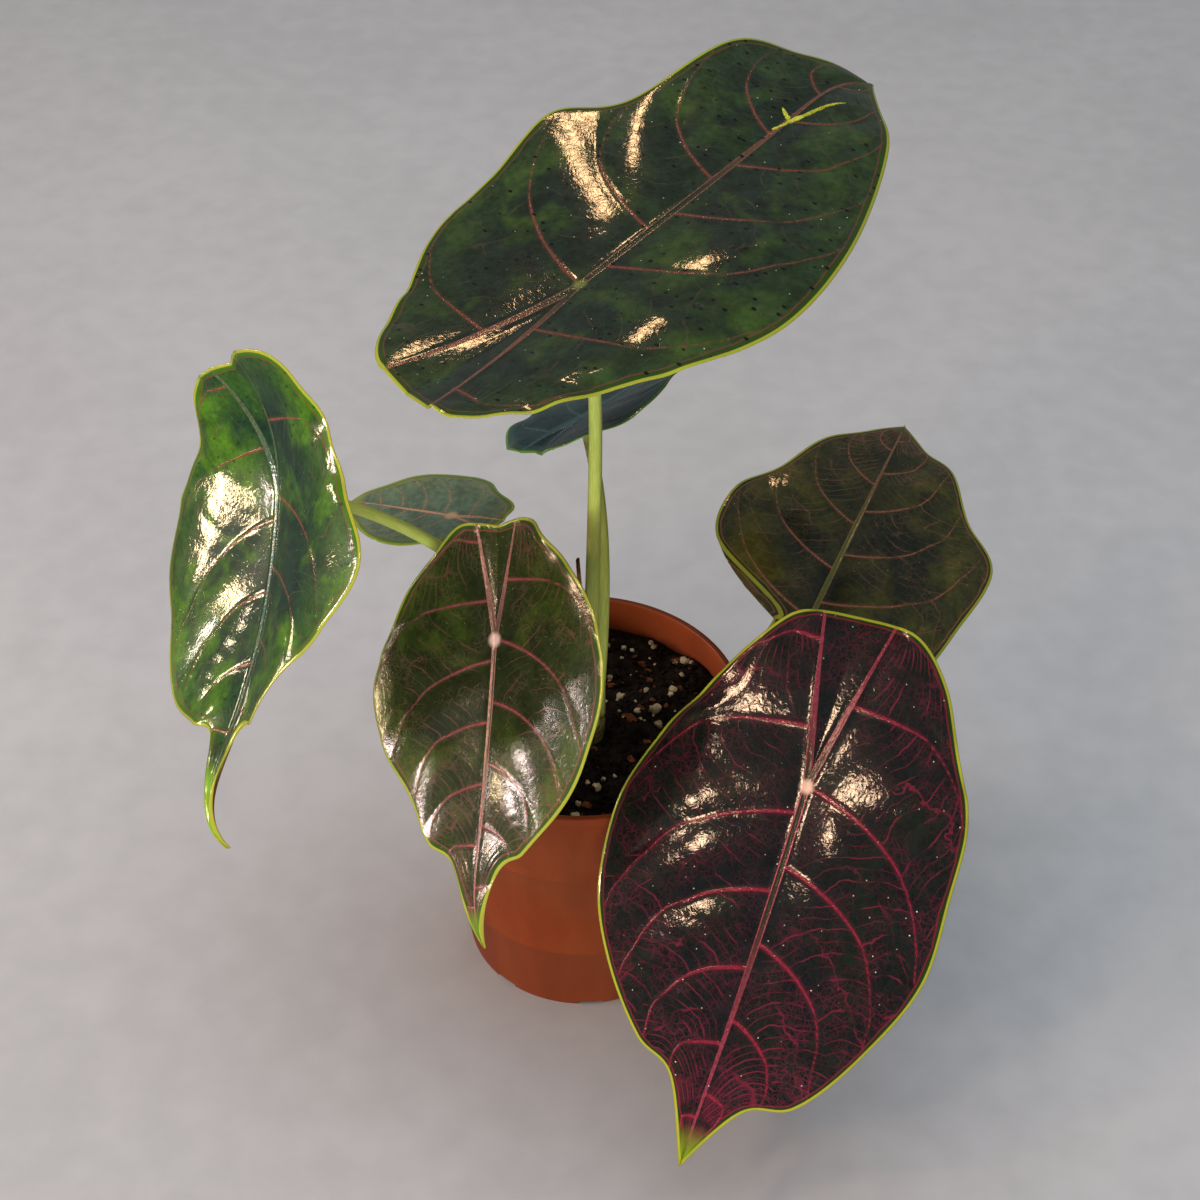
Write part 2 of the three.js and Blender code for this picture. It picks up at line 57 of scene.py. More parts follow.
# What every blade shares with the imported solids, with lengths in millimetres.
# The margin: bearings of its radii from the tip, in degrees, and the stations, counted in
# radii, where the front laterals, the rear rib and the line between the rear lobes end
BEARINGS = (0, 7, 16, 30, 48, 70, 95, 120, 143, 161, 180)
FRONT_STATION = 4.2
RIB_STATION = 9.35
SEAM_STATION = len(BEARINGS) - 1
# The laterals of each half: how many, how far the right half's are shifted, counted in
# laterals, and where along and across them the curve's middle point lies
FRONT_LATERALS = 5
REAR_LATERALS = 2
ALL_LATERALS = FRONT_LATERALS + REAR_LATERALS
RIGHT_SHIFT = 1 / 3
LATERAL_HANDLE = (0.15, 0.7)
# The bent surface: steps along the midrib, the width over which a half droops, and the share
# of the length where the tip starts to curl
SPINE_STEPS = 48
HALF_SPAN = 50.0
CURL_START = 0.7
# Relief: the margin's waves fade out toward the tip, and short leaves are quilted less
WAVE_FADE = 40.0
FULL_QUILT_LENGTH = 110.0
QUILT_RISE = 0.95
# Section: the sheet, the midrib above and below it, and how fast the ribs fade at their ends
HALF_THICKNESS = 0.4
MIDRIB_RISE = 0.7
MIDRIB_KEEL = 0.9
RIB_FADE_TIP = 4.0
RIB_FADE_REAR = 2.5
# The patch behind the rear rib has no laterals, so its veins are spaced as if they were so long
PATCH_SPAN = 30.0
# Side veins: how many leave each lateral, how steeply they climb to the next and how they stray
BRANCHES = 6
BRANCH_CLIMB = 2.5
CLIMB_BEND = 1.4
BRANCH_STRAY = 0.09

# Colour of the painted glints on the upper faces
GLINT_COLOUR = "e9dcc0"
WARM_WHITE = (1.0, 0.66, 0.42)

Colour = tuple[float, float, float, float]
Triple = tuple[float, float, float]
Array = np.ndarray
Material = bpy.types.Material
Piece = bpy.types.Object
Socket = bpy.types.NodeSocket


def tint(code: str) -> Colour:
    """Turns a screen colour such as "96502e" into the linear colour that shaders take.

    Args:
        code: six hexadecimal digits, red first.

    Returns:
        Red, green, blue and alpha, each from 0 to 1.
    """
    shares = [int(code[i:i + 2], 16) / 255 for i in (0, 2, 4)]
    linear = [c / 12.92 if c <= 0.04045 else ((c + 0.055) / 1.055) ** 2.4 for c in shares]
    return (linear[0], linear[1], linear[2], 1.0)


def smooth(x: Array) -> Array:
    """Eases 0 to 1 with level ends, as the blade's formula does."""
    x = np.clip(x, 0.0, 1.0)
    return x * x * (3 - 2 * x)


def spline(points: Array, t: Array) -> Array:
    """Follows a smooth curve that passes through every point, with its ends doubled.

    Args:
        points: the points, one a row.
        t: where to read the curve, counted in points.

    Returns:
        One place a row for each value of t.
    """
    last = len(points) - 1
    i = np.clip(np.floor(t).astype(int), 0, last - 1)
    w = (t - i)[..., None]
    before = points[np.maximum(i - 1, 0)]
    here = points[i]
    there = points[i + 1]
    after = points[np.minimum(i + 2, last)]
    v0 = (there - before) / 2
    v1 = (after - here) / 2
    cubic = 2 * here - 2 * there + v0 + v1
    square = -3 * here + 3 * there - 2 * v0 - v1
    return cubic * w ** 3 + square * w ** 2 + v0 * w + here


def distance_to(points: Array, path: Array) -> Array:
    """Measures how far flat points lie from a path of straight steps.

    Args:
        points: flat points, one a row.
        path: the path's corners, one a row.

    Returns:
        One distance for each point.
    """
    nearest = np.full(len(points), np.inf)
    for a, b in zip(path[:-1], path[1:]):
        step = b - a
        length = float(step @ step)
        if length == 0:
            continue
        share = np.clip((points - a) @ step / length, 0, 1)
        gap = points - a - share[:, None] * step
        nearest = np.minimum(nearest, np.einsum("ij,ij->i", gap, gap))
    return np.sqrt(nearest)


def unit(v: Array) -> Array:
    """Scales a vector, or each row of a list of them, to length 1."""
    return v / np.maximum(np.linalg.norm(v, axis=-1, keepdims=True), 1e-9)


def drift(u: Array, v: Array, seed: float) -> Array:
    """Wanders smoothly between -1 and 1 over the flat leaf, so that nothing repeats exactly.

    Args:
        u: flat places along the midrib, in millimetres.
        v: flat places to the left of it.
        seed: sets which pattern it is.

    Returns:
        One number for each place.
    """
    long = np.sin(u / 11 + seed * 2.1 + 0.8 * np.sin(v / 13 + seed))
    short = np.sin(v / 7.3 + seed * 1.7 + 0.9 * np.sin(u / 8.1 - seed))
    return 0.5 * long + 0.5 * short


def add_object(name: str, data: object) -> Piece:
    """Links a new object to the scene.

    Args:
        name: its name.
        data: the mesh, light or camera that it holds.

    Returns:
        The object.
    """
    made = bpy.data.objects.new(name, data)
    bpy.context.scene.collection.objects.link(made)
    return made


def object_from(name: str, points: Array, faces: list, materials: list,
                smooth_faces: bool = True) -> Piece:
    """Makes an object from points in millimetres and faces that index them.

    Args:
        name: the object's name.
        points: places in millimetres, one a row.
        faces: lists of point numbers, turned anticlockwise seen from outside.
        materials: the materials, in slot order.
        smooth_faces: whether the shading runs smoothly across the faces.

    Returns:
        The new object, linked to the scene.
    """
    mesh = bpy.data.meshes.new(name)
    mesh.from_pydata((points * MM).tolist(), [], faces)
    for material in materials:
        mesh.materials.append(material)
    mesh.polygons.foreach_set("use_smooth", [smooth_faces] * len(mesh.polygons))
    mesh.update()
    return add_object(name, mesh)


def store(mesh: bpy.types.Mesh, name: str, domain: str, *parts: Array) -> None:
    """Stores three numbers as an attribute of a mesh.

    Args:
        mesh: the mesh.
        name: the attribute's name.
        domain: whether it belongs to each "POINT" or each "CORNER".
        *parts: the first, second and third numbers.
    """
    layer = mesh.attributes.new(name, "FLOAT_VECTOR", domain)
    layer.data.foreach_set("vector", np.stack(parts, -1).astype(np.float32).ravel())


def turns(sides: int) -> Array:
    """Divides a full turn into equal angles, in radians."""
    return np.linspace(0, 2 * np.pi, sides, endpoint=False)


def lengths_along(line: Array) -> Array:
    """Adds up the lengths of a line's steps, from 0 at its first point."""
    return np.concatenate([[0], np.cumsum(np.linalg.norm(np.diff(line, axis=0), axis=1))])


def settle(piece: Piece, slot: str, *nodes: str) -> None:
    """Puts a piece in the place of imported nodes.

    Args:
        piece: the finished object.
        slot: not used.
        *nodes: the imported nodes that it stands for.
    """
    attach(piece, BODY)
    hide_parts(*nodes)
    LOG.info("%s: %d faces, stands for %s", piece.name, len(piece.data.polygons), ", ".join(nodes))


def grid_faces(rows: int, columns: int, closed: bool = False, start: int = 0) -> list:
    """Lists the square faces of a grid of points.

    Args:
        rows: how many rows of points.
        columns: how many points in a row.
        closed: whether each row closes on itself.
        start: the number of the first point.

    Returns:
        One list of four point numbers for each face.
    """
    faces = []
    for row in range(rows - 1):
        for i in range(columns if closed else columns - 1):
            j = (i + 1) % columns
            a = start + row * columns
            faces.append([a + i, a + j, a + columns + j, a + columns + i])
    return faces


def capped(rings: Array, low: list, high: list) -> tuple:
    """Closes a stack of rings with a fan of triangles at each end.

    Args:
        rings: points by ring and by place in the ring, anticlockwise seen from the last ring.
        low: the middle of the first ring.
        high: the middle of the last ring.

    Returns:
        The points, with the two middles last, and the faces.
    """
    count, sides = rings.shape[:2]
    points = np.concatenate([rings.reshape(-1, 3), [low], [high]])
    faces = grid_faces(count, sides, closed=True)
    last = (count - 1) * sides
    for i in range(sides):
        j = (i + 1) % sides
        faces.append([j, i, len(points) - 2])
        faces.append([last + i, last + j, len(points) - 1])
    return points, faces


class CellGap(Enum):
    """What a pattern of cells measures, by Blender's names."""

    CENTRE = "F1"
    WALL = "DISTANCE_TO_EDGE"


class Wiring:
    """A material's node tree while it is wired up."""

    def __init__(self, name: str) -> None:
        """Starts a material with a shader and an output.

        Args:
            name: the material's name.
        """
        self.material = bpy.data.materials.new(name)
        self.material.use_nodes = True
        self.tree = self.material.node_tree
        self.tree.nodes.clear()
        self.shader = self.node("BsdfPrincipled")
        self.node("OutputMaterial", self.shader.outputs["BSDF"])

    def node(self, kind: str, *values: object, **settings: object) -> bpy.types.Node:
        """Adds a node.

        Args:
            kind: Blender's name of the node, without its "ShaderNode".
            *values: what its first sockets are fed, in order.
            **settings: its own settings.

        Returns:
            The new node.
        """
        made = self.tree.nodes.new(f"ShaderNode{kind}")
        for name, value in settings.items():
            setattr(made, name, value)
        for socket, value in zip(made.inputs, values):
            self.feed(socket, value)
        return made

    def feed(self, socket: Socket, value: object) -> None:
        """Links a socket to another, or sets its value.

        Args:
            socket: the socket.
            value: another socket, a number, or a screen colour's six digits.
        """
        if isinstance(value, Socket):
            self.tree.links.new(value, socket)
        else:
            socket.default_value = tint(value) if isinstance(value, str) else value

    def tune(self, node: bpy.types.Node, **values: object) -> bpy.types.Node:
        """Feeds a node's sockets by name.

        Args:
            node: the node.
            **values: what each socket is fed, its name with underscores for spaces.

        Returns:
            The same node.
        """
        for name, value in values.items():
            self.feed(node.inputs[name.replace("_", " ")], value)
        return node

    def surface(self, **values: object) -> Material:
        """Feeds the shader's sockets by name and gives the material."""
        self.tune(self.shader, **values)
        return self.material

    def attribute(self, name: str) -> list:
        """Reads the three numbers of a mesh attribute."""
        return self.split(self.node("Attribute", attribute_name=name).outputs["Vector"])

    def place(self) -> Socket:
        """Reads the point's place on the object, in metres."""
        return self.node("TexCoord").outputs["Object"]

    def split(self, vector: Socket) -> list:
        """Splits a vector into its three numbers."""
        return list(self.node("SeparateXYZ", vector).outputs)

    def join(self, x: object, y: object, z: object) -> Socket:
        """Joins three numbers into a vector."""
        return self.node("CombineXYZ", x, y, z).outputs[0]

    def math(self, operation: str, *values: object, clamp: bool = False) -> Socket:
        """Works out one number from others, and may keep it from 0 to 1."""
        return self.node("Math", *values, operation=operation, use_clamp=clamp).outputs[0]

    def plus(self, a: object, b: object) -> Socket:
        """Adds two numbers."""
        return self.math("ADD", a, b)

    def times(self, first: object, *others: object) -> Socket:
        """Multiplies numbers.

        Args:
            first: the first number.
            *others: the others, in order.

        Returns:
            Their product.
        """
        for other in others:
            first = self.math("MULTIPLY", first, other)
        return first

    def fused(self, a: object, b: object, c: object) -> Socket:
        """Multiplies two numbers and adds a third."""
        return self.math("MULTIPLY_ADD", a, b, c)

    def between(self, a: object, b: object) -> Socket:
        """Works out how far two numbers lie apart."""
        return self.math("ABSOLUTE", self.math("SUBTRACT", a, b))

    def distance(self, x: object, y: object) -> Socket:
        """Works out how far a flat place lies from the origin."""
        return self.math("SQRT", self.fused(x, x, self.times(y, y)))

    def ease(self, value: object, low: object, high: object, start: object = 0.0,
             end: object = 1.0) -> Socket:
        """Eases from start to end as the value goes from low to high."""
        return self.node("MapRange", value, low, high, start, end,
                         interpolation_type="SMOOTHSTEP").outputs[0]

    def fade(self, value: object, low: object, high: object, start: object = 1.0) -> Socket:
        """Fades from start to 0 as the value goes from low to high."""
        return self.ease(value, low, high, start, 0.0)

    def scaled(self, vector: Socket, by: Triple) -> Socket:
        """Scales a vector along each axis."""
        return self.node("VectorMath", vector, by, operation="MULTIPLY").outputs[0]

    def noise(self, vector: Socket, scale: float, detail: float = 3.0,
              twist: float = 0.0) -> Socket:
        """Reads a soft cloud pattern.

        Args:
            vector: where it is read.
            scale: how many clouds in one unit of the vector.
            detail: how many finer layers it has.
            twist: how far it is distorted.

        Returns:
            A number about 0.5.
        """
        node = self.node("TexNoise", vector)
        return self.tune(node, Scale=scale, Detail=detail, Distortion=twist).outputs[0]

    def cells(self, vector: Socket, scale: float, gap: CellGap = CellGap.CENTRE) -> Socket:
        """Reads a pattern of irregular cells.

        Args:
            vector: where it is read.
            scale: how many cells in one unit of the vector.
            gap: what is measured, to the nearest centre or the nearest wall.

        Returns:
            The distance, in cells.
        """
        node = self.node("TexVoronoi", vector, feature=gap.value)
        return self.tune(node, Scale=scale).outputs["Distance"]

    def blend(self, share: object, a: object, b: object) -> Socket:
        """Blends two colours.

        Args:
            share: 0 for the first colour alone, 1 for the second.
            a: the first colour.
            b: the second colour.

        Returns:
            The blended colour.
        """
        node = self.node("Mix", share, data_type="RGBA")
        for socket, colour in zip(node.inputs[6:8], (a, b)):
            self.feed(socket, colour)
        return node.outputs[2]

    def lit(self, colour: object, by: object) -> Socket:
        """Makes a colour lighter or darker.

        Args:
            colour: the colour.
            by: the factor.

        Returns:
            The new colour.
        """
        colour = tint(colour)[:3] if isinstance(colour, str) else colour
        node = self.node("VectorMath", colour, operation="SCALE")
        return self.tune(node, Scale=by).outputs[0]

    def bump(self, height: Socket, reach: float) -> Socket:
        """Turns heights, in units of reach in metres, into a bumped normal."""
        return self.tune(self.node("Bump"), Height=height, Distance=reach).outputs[0]


class Face(Enum):
    """The two faces of a blade, as material slot numbers."""

    UPPER = 0
    LOWER = 1


@dataclass(frozen=True)
class LeafFinish:
    """Colours and vein pattern of one leaf's two faces, with lengths in millimetres."""

    name: str
    deep: str
    fresh: str
    vein: str
    net: str
    rib: str
    rib_edge: str
    band: str
    margin: str
    tail: str
    node: str
    under: str
    under_vein: str
    fresh_share: float = 0.5
    net_share: float = 0.5
    branch_share: float = 0.5
    pit_share: float = 0.0
    glint_share: float = 0.3
    vein_width: float = 0.7
    rib_width: float = 2.0
    rib_painted_highlight: float = 1.3
    band_width: float = 2.6
    tail_start: float = 0.86
    tail_fade: float = 0.09
    margin_width: float = 0.85
    gloss: float = 0.3
    coat_blur: float = 0.06
    coat_index: float = 1.5
    crinkle: float = 0.055
    seed: float = 0.0

    def materials(self) -> list:
        """Wires both faces, in slot order."""
        return [LeafSkin(self, Face.UPPER).upper(), LeafSkin(self, Face.LOWER).lower()]


class LeafSkin(Wiring):
    """One face of a leaf while it is wired up, and what is known of each of its points.

    u and v are the flat place in millimetres. lateral, rib and rim are distances to the nearest
    lateral, to the midrib or rear rib, and to the margin. phase counts laterals and branch counts
    side veins, whole on each. reach is 0 at the rib and 1 at the margin, span is the lateral's
    length, and ahead is 0 at the stalk and 1 at the tip.
    """

    # How far one seed moves each face's patterns, in millimetres
    PATTERN_SHIFT = {Face.UPPER: 37.0, Face.LOWER: 19.0}

    def __init__(self, finish: LeafFinish, face: Face) -> None:
        """Starts the face's material and reads the blade's attributes.

        Args:
            finish: the leaf's colours and pattern.
            face: the face to wire.
        """
        super().__init__(f"{finish.name}_{face.name.lower()}")
        self.finish = finish
        self.u, self.v, self.ahead = self.attribute("leaf_flat")
        self.lateral, self.rib, self.rim = self.attribute("leaf_gap")
        self.phase, self.branch, self.reach = self.attribute("leaf_net")
        self.span = self.attribute("leaf_span")[0]
        shift = finish.seed * self.PATTERN_SHIFT[face]
        self.spot = self.join(self.plus(self.u, shift), self.v, finish.seed)

    def cloud(self, scale: float, detail: float = 3.0, twist: float = 0.0) -> Socket:
        """Reads a soft cloud pattern over the flat leaf."""
        return self.noise(self.spot, scale, detail, twist)

    def stray(self, scale: float, width: float, detail: float = 3.0) -> Socket:
        """Strays smoothly over the flat leaf, by half a width to each side of 0."""
        return self.fused(self.cloud(scale, detail), width, -width / 2)

    def upper(self) -> Material:
        """Wires the glossy upper face.

        Returns:
            The finished material.
        """
        finish = self.finish
        colour = self.blend(self._hairs(), self._ground(), finish.net)
        colour = self.blend(self._twigs(), colour, self.blend(0.5, finish.net, finish.vein))
        colour, veins = self._main_veins(self._outer_band(colour))
        colour = self._spots(colour)
        ragged = self.fused(self.cloud(0.12), 0.04, self.ahead)
        tail_end = finish.tail_start + finish.tail_fade
        tail = self.ease(ragged, finish.tail_start, tail_end, 0.0, 0.92)
        colour = self.blend(tail, colour, finish.tail)
        hem = self.fade(self.rim, finish.margin_width * 0.75, finish.margin_width * 1.15)
        colour = self.blend(hem, colour, finish.margin)

        along = self.join(self.times(self.phase, 26.0), self.times(self.reach, 17.0), finish.seed)
        height = self.times(self.noise(along, 1.1, 2.0, 1.2), 0.013)
        height = self.fused(self.cloud(0.36, 3.0, 1.6), finish.crinkle, height)
        height = self.fused(self.times(self.cloud(1.4, 1.0), veins), 0.12, height)
        normal = self.bump(height, MM)
        rough = self.fused(self.cloud(0.12), 0.16, finish.gloss - 0.08)
        return self.surface(Base_Color=colour, Roughness=rough, Normal=normal,
                            Coat_Normal=normal, Coat_Weight=1.0, Coat_Roughness=finish.coat_blur,
                            Coat_IOR=finish.coat_index, Specular_IOR_Level=0.1)

    def lower(self) -> Material:
        """Wires the duller lower face.

        Returns:
            The finished material.
        """
        finish = self.finish
        colour = self.lit(finish.under, self.ease(self.cloud(0.2, 4.0), 0.3, 0.7, 0.75, 1.25))
        colour = self.blend(self.times(self._hairs(), 0.7), colour, finish.under_vein)
        near = self.math("MINIMUM", self.lateral, self.times(self.rib, 0.6))
        colour = self.blend(self.fade(near, 0.5, 1.3, 0.9), colour, finish.under_vein)
        colour = self.blend(self.fade(self.rim, 0.8, 1.6), colour, finish.margin)
        normal = self.bump(self.times(self.cloud(0.9), 0.2), MM)
        return self.surface(Base_Color=colour, Normal=normal, Roughness=0.46, Coat_Weight=0.12,
                            Coat_Roughness=0.3)

    def _ground(self) -> Socket:
        """Colours the tissue between the veins.

        Returns:
            The colour.
        """
        finish = self.finish
        patch = self.ease(self.cloud(0.045, 3.0, 0.6), 0.46, 0.66, 0.0, finish.fresh_share)
        outward = self.fade(self.rim, 4.0, 26.0, 0.45 * finish.fresh_share)
        patch = self.math("ADD", patch, outward, clamp=True)
        patch = self.times(patch, self.ease(self.rib, 3.0, 16.0, 0.4, 1.0))
        mottle = self.plus(self.cloud(0.5, 4.0), self.cloud(0.16, 2.0))
        return self.lit(self.blend(patch, finish.deep, finish.fresh),
                        self.ease(mottle, 0.6, 1.4, 0.62, 1.38))

    def _hairs(self) -> Socket:
        """Draws the finest net, denser toward the tip and margin.

        Returns:
            The net's share of the colour.
        """
        x, y, _ = self.split(self.spot)
        bent = self.join(self.fused(self.cloud(0.35), 3.0, x),
                         self.fused(self.cloud(0.3, 3.0, 0.4), 3.0, y), 0.0)
        coarse, fine = (self.cells(bent, scale, CellGap.WALL) for scale in (0.34, 0.8))
        line = self.math("MAXIMUM", self.times(self.fade(fine, 0.02, 0.12), 0.6),
                         self.fade(coarse, 0.015, 0.075))
        share = self.times(self.ease(self.cloud(0.09), 0.4, 0.62, 0.2, 1.0),
                           self.ease(self.ahead, 0.1, 0.9, 0.75, 1.25),
                           self.ease(self.rim, 5.0, 28.0, 1.15, 0.8), self.finish.net_share)
        return self.math("MULTIPLY", share, line, clamp=True)

    def _twigs(self) -> Socket:
        """Draws the thin side veins that leave each lateral and the vein midway between two.

        Returns:
            The side veins' share of the colour.
        """
        turned = self.plus(self.plus(self.branch, self.stray(0.4, 0.14)),
                           self.stray(0.06, 0.8, 2.0))
        off = self.between(self.math("FRACT", turned), 0.5)
        step = self.times(self.span, 1 / BRANCHES)
        first = self.fade(self.times(off, step), 0.1, 0.42)
        second = self.fade(self.times(self.math("SUBTRACT", 0.5, off), step), 0.05, 0.3, 0.6)
        wandered = self.plus(self.phase, self.stray(0.14, 0.5))
        off = self.between(self.math("FRACT", wandered), 0.5)
        middle = self.times(self.fade(self.times(off, self.times(self.span, 0.4)), 0.1, 0.5),
                            self.ease(self.reach, 0.22, 0.45))
        line = self.math("MAXIMUM", self.math("MAXIMUM", first, second), middle)
        share = self.times(self.ease(self.cloud(0.11, 2.0), 0.4, 0.6, 0.1, 1.0),
                           self.ease(self.reach, 0.04, 0.2), self.finish.branch_share)
        return self.math("MULTIPLY", share, line, clamp=True)

    def _outer_band(self, colour: Socket) -> Socket:
        """Colours the band outside the collecting vein, and that vein.

        Args:
            colour: the colour so far.

        Returns:
            The new colour.
        """
        width = self.finish.band_width
        edge = self.plus(self.rim, self.stray(0.12, 1.8))
        band = self.fade(edge, width * 0.55, width * 1.15, 0.9)
        colour = self.blend(band, colour, self.finish.band)
        line = self.fade(self.between(edge, width), 0.1, 0.45, 0.6)
        return self.blend(line, colour, self.finish.vein)

    def _main_veins(self, colour: Socket) -> tuple:
        """Draws the laterals, the midrib, the rear ribs and the pale point where they meet; the rib
        edges carry a painted highlight near the stalk.

        Args:
            colour: the colour so far.

        Returns:
            The new colour, and the bare line of all main veins.
        """
        finish = self.finish
        ragged = self.stray(0.9, 0.5)
        near = self.plus(self.lateral, ragged)
        width = self.ease(self.reach, 0.0, 1.0, finish.vein_width, finish.vein_width * 0.35)
        halo = self.fade(near, 0.0, self.times(width, 3.0), 0.25)
        colour = self.blend(halo, colour, finish.vein)
        line = self.fade(near, self.times(width, 0.6), width)
        speckle = self.ease(self.cloud(1.3, 2.0), 0.35, 0.7, 0.75, 1.3)
        colour = self.blend(line, colour, self.lit(finish.vein, speckle))

        near = self.fused(ragged, 0.5, self.rib)
        width = self.ease(self.ahead, 0.2, 1.0, finish.rib_width, finish.rib_width * 0.4)
        width = self.times(width, self.ease(self.ahead, -0.42, -0.04, 0.35, 0.85))
        inner = self.times(width, 0.75)
        rib_line = self.fade(near, inner, width)
        core = self.times(self.fade(near, self.times(width, 0.55), inner),
                          self.fade(self.ahead, 0.3, 0.7), self.ease(self.ahead, -0.25, 0.0))
        # Painted highlight: the rib edges are drawn lighter near the stalk, over their own colour.
        painted_highlight = self.times(self.ease(self.ahead, -0.06, 0.02), finish.rib_painted_highlight - 1.0)
        painted_highlight = self.fused(painted_highlight, self.fade(self.ahead, 0.12, 0.55), 1.0)
        edge = self.lit(finish.rib_edge, self.times(speckle, painted_highlight))
        colour = self.blend(rib_line, colour, self.blend(core, edge, finish.rib))
        meeting = self.fade(self.distance(self.u, self.v), 1.2, 3.4)
        colour = self.blend(meeting, colour, finish.node)
        return colour, self.math("MAXIMUM", line, rib_line)

    def _spots(self, colour: Socket) -> Socket:
        """Scatters dark pits, and bright specks that are painted glints.

        Args:
            colour: the colour so far.

        Returns:
            The new colour.
        """
        finish = self.finish
        if finish.pit_share > 0:
            pit = self.cells(self.scaled(self.spot, (1.0, 0.7, 1.0)), 0.24)
            pit = self.fade(pit, 0.1, 0.2, finish.pit_share)
            colour = self.blend(pit, colour, self.lit(finish.deep, 0.3))
        # Painted glints: bright cream specks, thinner away from the laterals.
        glint = self.times(self.fade(self.cells(self.spot, 0.21), 0.035, 0.06, finish.glint_share),
                           self.ease(self.lateral, 1.0, 5.0, 1.0, 0.55))
        return self.blend(glint, colour, GLINT_COLOUR)


@dataclass(frozen=True)
class LeafShape:
    """Form of one leaf and its stalk, in millimetres and degrees.

    The attachment is where the stalk meets the blade. heading, pitch and roll turn the midrib,
    and arch, rear_arch, sweep, twist, curl and side_curl bend it over its length. Pairs hold the
    left half's value and the right half's, seen from the stalk toward the tip.
    """

    name: str
    finish: LeafFinish
    attachment: Triple
    heading: float
    pitch: float
    roll: float
    arch: float
    rear_arch: float
    sweep: float
    twist: float
    curl: float
    side_curl: float
    lift: tuple[float, float]
    droop: tuple[float, float]
    rear_lift: tuple[float, float]
    left: tuple[float, ...]
    right: tuple[float, ...]
    wave: tuple[float, float]
    shoot: "Shoot"
    stalk_angle: float
    stalk_lean: Triple
    stalk_reach: float
    stalk_foot: float
    stalk_head: float


